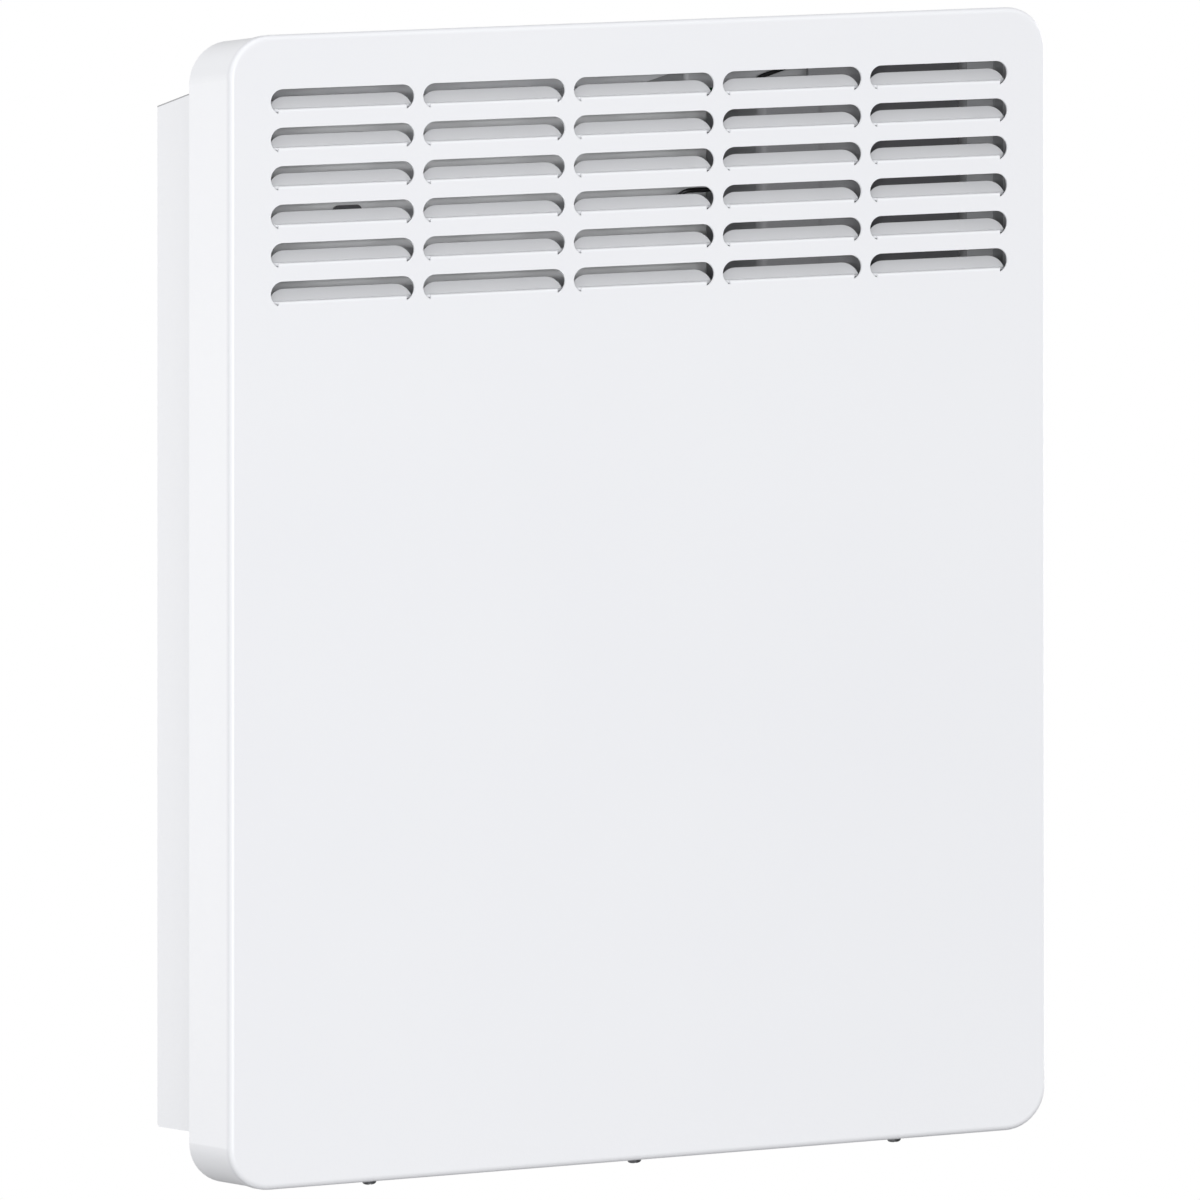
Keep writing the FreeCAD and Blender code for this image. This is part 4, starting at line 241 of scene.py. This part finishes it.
# Overheat limiter and thermal fuse: a bimetal cap in a phenolic base on the partition, and a fuse clipped
# to the shield. Their push-on tags and those of the other terminals are tinned brass.

dress(speckled("phenolic_black", linear(38, 36, 35), linear(50, 48, 46), 0.45, 900.0, 0.2),
      "limiter_base", "thermal_fuse")
dress(drawn_metal("tinned_brass", linear(196, 180, 128), linear(216, 204, 160), 0.32, (120, 900, 900)),
      "limiter_spades", "switch_spades", "terminal_screws", "earth_terminal")


# Control box: a tray moulded in grey flame-resistant plastic, coloured a darker grey at its right.
# It is screwed to the rear panel behind the grille, and holds the power board with its relay and
# capacitor. The control board with its keys and display lies under the control panel.

darker_start, darker_full = 0.1074, 0.1076
box_plastic = speckled("box_plastic", linear(144, 144, 147), linear(154, 154, 157), 0.55, 1300.0, 0.3)
# The box's right part is coloured a darker grey.
tone_and_painted_shade(box_plastic, reached(box_plastic, "X", darker_start, darker_full), linear(90, 90, 93))
dress(box_plastic, "control_box")


def printed_board(name):
    """Laminate under green solder mask: copper tracks in rows show through as paler lines."""
    finish, shader = new_finish(name, Specular_IOR_Level=0.6)
    tracks = add_node(finish, "ShaderNodeTexBrick", {
        "Vector": object_place(finish), "Scale": 45.0, "Brick Width": 0.9, "Row Height": 0.16,
        "Mortar Size": 0.035, "Mortar Smooth": 0.2, "Mortar": linear(62, 124, 80),
        "Color1": linear(24, 78, 50), "Color2": linear(30, 88, 56)})
    link(finish, tracks.outputs["Color"], shader, "Base Color")
    varied_roughness(finish, shader, tracks.outputs["Fac"], 0.32, 0.42)
    raised(finish, shader, tracks.outputs["Fac"], 0.3, 0.0001)
    return finish


dress(printed_board("green_laminate"), "power_board", "control_board")
dress(speckled("relay_case", linear(40, 44, 54), linear(50, 54, 64), 0.4, 700.0, 0.12),
      "power_relay", "key_switches", "display_module")
dress(speckled("capacitor_sleeve", linear(34, 38, 62), linear(44, 48, 74), 0.28, 400.0, 0.08), "capacitor")


# Control panel: a grey moulded fascia let into the housing's sloping top, with a smoked window and four
# buttons. Signs are printed on the buttons, and the display under the window has dim figures.

dress(speckled("fascia_plastic", linear(190, 191, 194), linear(197, 198, 201), 0.5, 1100.0, 0.25),
      "control_fascia")
dress(speckled("button_plastic", linear(72, 73, 77), linear(80, 81, 85), 0.4, 900.0, 0.12),
      "button_menu", "button_minus", "button_plus", "button_ok")


def smoked_pane(name):
    """Grey tinted acrylic: clear, with the faintest waviness of its mould in its shine."""
    finish, shader = new_finish(name, Base_Color=linear(150, 154, 158), Transmission_Weight=1.0, IOR=1.49)
    ripple = add_node(finish, "ShaderNodeTexNoise",
                      {"Vector": object_place(finish), "Scale": 90.0, "Detail": 1.0})
    varied_roughness(finish, shader, ripple.outputs["Fac"], 0.02, 0.06)
    return finish


dress(smoked_pane("smoked_window"), "display_window")


def add_piece(name, grids, finish, body, replaced=()):
    """A mesh from grids of points. Each grid is closed round its columns, and rows that meet are merged."""
    points, faces, start = [], [], 0
    for grid in grids:
        rows, columns = grid.shape[:2]
        index = np.arange(rows * columns).reshape(rows, columns) + start
        after = np.roll(index, -1, axis=1)
        quads = np.stack([index[:-1], after[:-1], after[1:], index[1:]], axis=-1)
        points.append(grid.reshape(-1, 3))
        faces.append(quads.reshape(-1, 4))
        start += rows * columns
    mesh = bpy.data.meshes.new(name)
    mesh.from_pydata(np.concatenate(points), [], np.concatenate(faces))
    work = bmesh.new()
    work.from_mesh(mesh)
    bmesh.ops.remove_doubles(work, verts=work.verts, dist=1e-7)
    bmesh.ops.recalc_face_normals(work, faces=work.faces)
    work.to_mesh(mesh)
    work.free()
    mesh.polygons.foreach_set("use_smooth", np.ones(len(mesh.polygons), dtype=bool))
    mesh.set_sharp_from_angle(angle=math.radians(35))
    mesh.materials.append(finish)
    piece = bpy.data.objects.new(name, mesh)
    bpy.context.scene.collection.objects.link(piece)
    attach(piece, body)
    if replaced:
        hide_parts(*replaced)


class Face:
    """A flat place on the heater: its middle, and the directions across it, up it and out of it."""

    def __init__(self, middle, across, up):
        self.middle = np.array(middle, dtype=float)
        self.across = np.array(across, dtype=float)
        self.up = np.array(up, dtype=float)
        self.out = np.cross(self.across, self.up)

    def at(self, x, y, z):
        """Points from distances across, up and out of the face."""
        on_face = np.multiply.outer(x, self.across) + np.multiply.outer(y, self.up)
        return self.middle + on_face + np.multiply.outer(z, self.out)


around = np.linspace(0, 2 * np.pi, 48, endpoint=False)
ink_height = 0.00006


def printed_bar(face, x, y, length, width, turn=0.0):
    """A bar of ink: a line with half-round ends, whose outline goes up its edge and shrinks to its middle."""
    size = np.array([1, 1, 0.97, 0])[:, None]
    rise = np.array([0, 0.8, 1, 1])[:, None] * ink_height
    end = np.sign(np.round(np.cos(around), 9))
    along = ((length - width) / 2 * end + width / 2 * np.cos(around)) * size
    aside = width / 2 * np.sin(around) * size
    cos, sin = math.cos(turn), math.sin(turn)
    return face.at(x + along * cos - aside * sin, y + along * sin + aside * cos, rise + 0 * along)


def printed_ring(face, x, y, radius, width):
    """A ring of ink: a circle that carries a low flat-topped section, whose last row meets its first."""
    section = np.array([-1, -1, -0.9, 0.9, 1, 1, -1])[:, None] * width / 2
    rise = np.array([0, 0.8, 1, 1, 0.8, 0, 0])[:, None] * ink_height
    reach = radius + section
    return face.at(x + reach * np.cos(around), y + reach * np.sin(around), rise + 0 * around)


panel_lean = math.atan(top_slope)
panel_across = (1, 0, 0)
panel_up = (0, math.cos(panel_lean), -math.sin(panel_lean))
panel_out = np.array([0, math.sin(panel_lean), math.cos(panel_lean)])
panel_middle = np.array([0.093, -0.04425, 0.205724])
button_rise = 0.0034
button_top = Face(panel_middle + button_rise * panel_out, panel_across, panel_up)
menu_x, minus_x, plus_x = 0.004, 0.017, 0.030
short_tick_x, short_tick_y, long_tick_x, long_tick_y = 0.0415, -0.0006, 0.0439, 0.0003
sign_length, tick_length, stroke, menu_step = 0.0052, 0.0028, 0.0008, 0.0019
button_signs = {
    "button_menu": [printed_bar(button_top, menu_x, step * menu_step, sign_length, stroke)
                    for step in (-1, 0, 1)],
    "button_minus": [printed_bar(button_top, minus_x, 0, sign_length, stroke)],
    "button_plus": [printed_bar(button_top, plus_x, 0, sign_length, stroke, turn)
                    for turn in (0.0, math.pi / 2)],
    "button_ok": [printed_bar(button_top, short_tick_x, short_tick_y, tick_length, stroke, -math.pi / 4),
                  printed_bar(button_top, long_tick_x, long_tick_y, sign_length, stroke, math.pi / 4)],
}
sign_white = speckled("sign_white", linear(238, 238, 238), linear(244, 244, 244), 0.5, 2000.0, 0.05)
for button, grids in button_signs.items():
    add_piece(f"{button}_sign", grids, sign_white, button)

# Each figure has up to seven bars, numbered from the top round to the right, with the middle one last.
# A bar's place is given in millimetres from the figure's middle, with 1 where it stands upright.
screen_shift = np.array([-0.027, 0, 0])
screen = Face(panel_middle + screen_shift, panel_across, panel_up)
bar_length, bar_width = 0.0042, 0.0009
bar_places = [(0, 5, 0), (2.5, 2.5, 1), (2.5, -2.5, 1), (0, -5, 0),
              (-2.5, -2.5, 1), (-2.5, 2.5, 1), (0, 0, 0)]
figures = {"2": (0, 1, 3, 4, 6), "1": (1, 2), "0": (0, 1, 2, 3, 4, 5)}
figure_bars = []
for figure_x, figure in ((-9, "2"), (0, "1"), (11, "0")):
    for bar in figures[figure]:
        bar_x, bar_y, standing = bar_places[bar]
        figure_bars.append(printed_bar(screen, (figure_x + bar_x) / 1000, bar_y / 1000, bar_length, bar_width,
                                       standing * math.pi / 2))
point_x, point_y, point_radius, point_width = 0.0052, -0.005, 0.0004, 0.0005
figure_bars.append(printed_ring(screen, point_x, point_y, point_radius, point_width))
figure_grey = speckled("figure_grey", linear(176, 186, 180), linear(186, 196, 190), 0.5, 2000.0, 0.05)
add_piece("display_figures", figure_bars, figure_grey, "heater")


# Mains switch: a black rocker switch snapped into the housing's right side, with a gloss rocker on two
# pins. The rocker's two halves carry the signs for on and off.

dress(speckled("switch_black", linear(34, 34, 36), linear(42, 42, 44), 0.3, 800.0, 0.1), "switch_body")
dress(speckled("rocker_black", linear(30, 30, 32), linear(36, 36, 38), 0.18, 500.0, 0.05), "switch_rocker")
rocker_pin = np.array([0.1597, -0.04425, 0.052])
rocker_tilt = math.radians(8)
rocker_rise, rocker_dip, rocker_half = 0.0065, 0.0016, 0.0114
half_lean = math.atan(rocker_dip / rocker_half)


def rocker_face(side):
    """The middle of the rocker's upper (1) or lower (-1) half, turned with the rocker about its pin."""
    lean = half_lean * side
    across = np.array([0, 1.0, 0])
    up = np.array([math.sin(lean), 0, math.cos(lean)])
    middle = np.array([rocker_rise - rocker_dip / 2, 0, side * rocker_half / 2])
    cos, sin = math.cos(rocker_tilt), math.sin(rocker_tilt)
    turn = np.array([[cos, 0, sin], [0, 1, 0], [-sin, 0, cos]])
    return Face(rocker_pin + turn @ middle, turn @ across, turn @ up)


switch_stroke, on_length, off_radius = 0.0009, 0.005, 0.0023
on_bar = printed_bar(rocker_face(1), 0, 0, on_length, switch_stroke, math.pi / 2)
off_ring = printed_ring(rocker_face(-1), 0, 0, off_radius, switch_stroke)
add_piece("rocker_sign_on", [on_bar], sign_white, "switch_rocker")
add_piece("rocker_sign_off", [off_ring], sign_white, "switch_rocker")


# Mains inlet: a nylon cable gland and its nut in the housing's bottom, and a terminal block on the rear
# panel. The room sensor stands beside the gland in a clip, in the cool air that comes in there.

dress(speckled("gland_nylon", linear(46, 46, 48), linear(56, 56, 58), 0.5, 1000.0, 0.25),
      "cable_gland", "gland_nut")
dress(speckled("natural_nylon", linear(226, 223, 210), linear(234, 231, 220), 0.45, 900.0, 0.15),
      "terminal_block", "sensor_clip")
dress(speckled("sensor_black", linear(32, 32, 34), linear(40, 40, 42), 0.35, 800.0, 0.1), "room_sensor")


# Wires: copper in PVC, from terminal to terminal. Brown is live, blue neutral, and green with yellow the
# earth. The leads of the sensor, the fuse and the display are black.

def wire_jacket(name, low, high):
    """PVC pulled over the copper: soft patches of shade and a satin skin."""
    return speckled(name, low, high, 0.42, 260.0, 0.08)


dress(wire_jacket("brown_wire", linear(92, 56, 34), linear(106, 66, 42)),
      "wire_live", "wire_switched", "wire_limiter", "wire_element")
dress(wire_jacket("blue_wire", linear(36, 82, 150), linear(46, 94, 164)), "wire_neutral", "wire_return")
dress(wire_jacket("black_wire", linear(26, 26, 27), linear(34, 34, 35)),
      "sensor_lead", "fuse_lead", "display_lead")
earth_jacket, earth_shader = new_finish("earth_wire", Roughness=0.42)
earth_bands = add_node(earth_jacket, "ShaderNodeTexWave",
                       {"Vector": object_place(earth_jacket), "Scale": 55.0, "Distortion": 0.6},
                       bands_direction="DIAGONAL")
earth_yellow = mapped(earth_jacket, earth_bands.outputs["Fac"], 0.5, 0.58)
two_shades(earth_jacket, earth_shader, earth_yellow, linear(58, 132, 56), linear(226, 204, 60))
dress(earth_jacket, "wire_earth")


# Fixings: pan-head sheet screws with a cross recess, rolled thread and blunt tip, and flat-head rivets.
# All are zinc-plated steel. The three cover screws go in from below, through the cover's edge.

plated = drawn_metal("zinc_plate", linear(112, 113, 116), linear(146, 147, 150), 0.36, (900, 900, 900))
dress(plated, "panel_rivets", "shield_rivets", "limiter_rivets")


def pan_screw(seat, into):
    """One surface from the middle of the head to the tip, turned about the screw's axis.

    The head's top is a dome whose height is one less the cube of the radius, to the power two fifths, and
    four arms of the cross sink into it. The rim and underside are straight. On the shank the radius rises
    and falls with the height less the turn, one pitch a turn, which makes the thread. The tip closes as a
    cone.
    """
    head, depth, rim = 0.0028, 0.0023, 0.0007
    arm_half, arm_slope, arm_reach, arm_end, recess = 0.00048, 0.00012, 0.0019, 0.0005, 0.0012
    length, shank, pitch, groove, runout = 0.009, 0.00175, 0.00125, 0.0004, 0.001
    thread_start, thread_end = 0.0004, length - 0.0012
    turn = np.linspace(0, 2 * np.pi, 72, endpoint=False)[None, :]
    reach = np.linspace(0, 1, 30)[:, None]
    radius = head * reach
    top = -rim - (depth - rim) * (1 - reach ** 3) ** 0.4 + 0 * turn
    x, y = np.abs(radius * np.cos(turn)), np.abs(radius * np.sin(turn))
    near, far = np.minimum(x, y), np.maximum(x, y)
    arm = np.clip((arm_half - near) / arm_slope, 0, 1) * np.clip((arm_reach - far) / arm_end, 0, 1)
    dome = (radius + 0 * turn, top + recess * arm)
    edge = (np.array([[head], [shank]]) + 0 * turn, np.zeros((2, 1)) + 0 * turn)
    height = np.linspace(thread_start, thread_end, 52)[:, None]
    ridge = 1 - np.abs(2 * np.mod(height / pitch - turn / (2 * np.pi), 1) - 1)
    cut = np.clip(height / runout, 0, 1) * np.clip((thread_end - height) / runout, 0, 1)
    thread = (shank - groove * (1 - ridge) * cut, height + 0 * turn)
    tip = (np.array([[shank * 0.55], [0]]) + 0 * turn, np.full((2, 1), length) + 0 * turn)
    around_axis, along_axis = (np.concatenate(rows) for rows in zip(dome, edge, thread, tip))
    across = np.array([1.0, 0, 0])
    face = Face(seat, across, np.cross(into, across))
    return face.at(around_axis * np.cos(turn), around_axis * np.sin(turn), along_axis)


up, forward, back = (0, 0, 1), (0, -1, 0), (0, 1, 0)
screw_sets = {
    "cover_screws": [pan_screw((x, -0.1125, -0.2246), up) for x in (-0.112, 0, 0.112)],
    "bracket_lock_screw": [pan_screw((0, -0.009, -0.2081), up)],
    "control_box_screws": [pan_screw((x, -0.012, 0.134), forward) for x in (0.075, 0.135)],
    "terminal_block_screws": [pan_screw((x, -0.012, -0.139), forward) for x in (0.122, 0.142)],
    "earth_screw": [pan_screw((0.132, -0.0138, -0.176), back)],
}
for name, grids in screw_sets.items():
    add_piece(f"{name}_threaded", grids, plated, "heater", [name])


# Front cover: a pan drawn from 1 mm steel, with a bead round its front and louvres lanced and bent inwards.
# It is powder coated white and slides over the housing's lip, and three screws hold its bottom edge.
# The louvres' flaps are greyed with painted shade, and a fine line of painted shade runs round the rim behind
# its front.

grille_side, grille_end, grille_blend = 0.16, 0.21, 0.99
flap_start, flap_full = -0.1212, -0.1202
rim_shade_front, rim_shade_back = (-0.1229, -0.1219), (-0.1186, -0.1208)
cover_coat = powder_coat("cover_white", linear(238, 239, 243), linear(241, 242, 245), 0.36, 0.12)
grille = combined(cover_coat, "MULTIPLY",
                  mirrored(cover_coat, "MULTIPLY", "X", grille_side, grille_side * grille_blend),
                  mirrored(cover_coat, "MULTIPLY", "Z", grille_end, grille_end * grille_blend))
# Painted shade: the louvres' flaps are greyed.
flap_shade = combined(cover_coat, "MULTIPLY", reached(cover_coat, "Y", flap_start, flap_full), grille)
tone_and_painted_shade(cover_coat, flap_shade, linear(209, 210, 213))
# Painted shade: a fine grey line round the rim, just behind its front.
rim_shade = combined(cover_coat, "MULTIPLY",
                    reached(cover_coat, "Y", *rim_shade_front), reached(cover_coat, "Y", *rim_shade_back))
rim_shade = combined(cover_coat, "MULTIPLY", rim_shade, combined(cover_coat, "SUBTRACT", 1.0, grille))
tone_and_painted_shade(cover_coat, rim_shade, linear(229, 230, 234))
dress(cover_coat, "front_cover")


# Stage: a pale floor under the heater that fades out at its edge, and a white surround that lights most
# from the upper left and near the heater's height. A strip light stands at the camera, with soft lamps
# overhead, at the right, behind at the right, and behind at the left for the shine on the rim.

floor_radius, floor_clear, floor_rings, floor_spokes = 0.5, 0.15, 4, 96
floor_middle = (0, -0.1, -0.9)
floor_reach = np.linspace(0, floor_radius, floor_rings)[:, None]
floor_turn = np.linspace(0, 2 * np.pi, floor_spokes, endpoint=False)
floor_points = np.stack([floor_reach * np.cos(floor_turn), floor_reach * np.sin(floor_turn),
                         np.zeros((floor_rings, floor_spokes))], axis=-1) + floor_middle
floor_index = np.arange(floor_rings * floor_spokes).reshape(floor_rings, floor_spokes)
floor_next = np.roll(floor_index, -1, axis=1)
floor_faces = np.stack([floor_index[:-1], floor_index[1:], floor_next[1:], floor_next[:-1]], axis=-1)
floor_mesh = bpy.data.meshes.new("floor")
floor_mesh.from_pydata(floor_points.reshape(-1, 3), [], floor_faces.reshape(-1, 4))
floor_pale = speckled("floor_pale", linear(236, 236, 237), linear(240, 240, 241), 0.8, 30.0, 0.0)
floor_mesh.materials.append(floor_pale)
from_middle = add_node(floor_pale, "ShaderNodeVectorMath", {0: object_place(floor_pale), 1: floor_middle},
                       operation="DISTANCE")
floor_shown = mapped(floor_pale, from_middle.outputs["Value"], floor_clear, floor_radius, 1.0, 0.0)
link(floor_pale, floor_shown, floor_pale.node_tree.nodes["Principled BSDF"], "Alpha")
floor = bpy.data.objects.new("floor", floor_mesh)
bpy.context.scene.collection.objects.link(floor)

lit_heading, dimmest, brightest = (-0.911, -0.10, 0.40), 0.29, 1.07
band_height, band_spread = 0.11, 1.04
surround = bpy.data.worlds.new("surround")
bpy.context.scene.world = surround
surround.use_nodes = True
ground = surround.node_tree.nodes["Background"]
ground.inputs["Color"].default_value = (1, 1, 1, 1)
heading = add_node(surround, "ShaderNodeTexCoord").outputs["Generated"]
lit_side = add_node(surround, "ShaderNodeVectorMath", {0: heading, 1: lit_heading}, operation="DOT_PRODUCT")
sky = mapped(surround, lit_side.outputs["Value"], -1.0, 1.0, dimmest, brightest)
height = add_node(surround, "ShaderNodeSeparateXYZ", {"Vector": heading}).outputs["Z"]
off_band = combined(surround, "SUBTRACT", height, band_height)
off_band = combined(surround, "MULTIPLY", off_band, off_band)
sky = combined(surround, "MULTIPLY", sky, mapped(surround, off_band, 0.0, band_spread, 1.0, 0.0))
rays = add_node(surround, "ShaderNodeLightPath").outputs
shown = combined(surround, "MAXIMUM", rays["Is Camera Ray"], rays["Is Transmission Ray"])
level = add_node(surround, "ShaderNodeMix", {"Factor": shown, "A": sky, "B": 1.0})
link(surround, level.outputs["Result"], ground, "Strength")


def soft_lamp(name, place, aim, width, height, watts):
    """A flat lamp of a width and height in metres, turned from its place to what it is aimed at."""
    lamp = bpy.data.lights.new(name, "AREA")
    lamp.shape = "RECTANGLE"
    lamp.size, lamp.size_y, lamp.energy = width, height, watts
    stand = bpy.data.objects.new(name, lamp)
    bpy.context.scene.collection.objects.link(stand)
    stand.location = place
    stand.rotation_mode = "QUATERNION"
    stand.rotation_quaternion = (Vector(aim) - Vector(place)).to_track_quat("-Z", "Y")


eye = (-1.5828, -4.0017, 0.1128)
soft_lamp("strip_lamp", eye, (0, -0.1, 0.1), 1.4, 0.1, 68)
soft_lamp("top_lamp", (-0.5, -1.0, 3.0), (0, -0.1, 0), 1.5, 1.2, 22)
soft_lamp("right_lamp", (3.0, -0.2, 0.5), (0, -0.05, 0), 1.5, 1.5, 42)
soft_lamp("back_lamp", (2.7, 1.7, 0.3), (0, 0, 0), 1.5, 1.5, 35)
soft_lamp("rim_lamp", (-1.27, 2.69, -0.02), (-0.17, -0.1, -0.02), 1.6, 1.0, 6.5)


# Camera: the photograph's viewing angle, with its upright edges kept upright and its slight lean.
# That view is sheared, so it is split into a turn, a stretch and another turn. The tripod has the stretch
# and the turn after it, and the camera on it has the turn before it.

yaw = math.radians(21.96)
lean, drop_pixels, focal_pixels = -0.0485, 293.31, 10609.1
ahead = np.array([math.sin(yaw), math.cos(yaw), 0])
sideways = np.array([math.cos(yaw), -math.sin(yaw), 0])
upright = np.array([0, 0, 1.0])
view = np.column_stack([sideways + lean * upright, upright, drop_pixels / focal_pixels * upright - ahead])
turned, stretch, turn = np.linalg.svd(view)
if np.linalg.det(turn) < 0:
    turned, turn = -turned, -turn
tripod = bpy.data.objects.new("tripod", None)
bpy.context.scene.collection.objects.link(tripod)
tripod.matrix_world = Matrix.Translation(eye) @ Matrix((turned * stretch).tolist()).to_4x4()
lens = bpy.data.cameras.new("camera")
lens.lens, lens.sensor_width = 318.27, 36.0
camera = bpy.data.objects.new("camera", lens)
bpy.context.scene.collection.objects.link(camera)
camera.parent = tripod
camera.matrix_basis = Matrix(turn.tolist()).to_4x4()
bpy.context.scene.camera = camera

bpy.context.scene.view_settings.view_transform = "Standard"
bpy.context.view_layer.update()
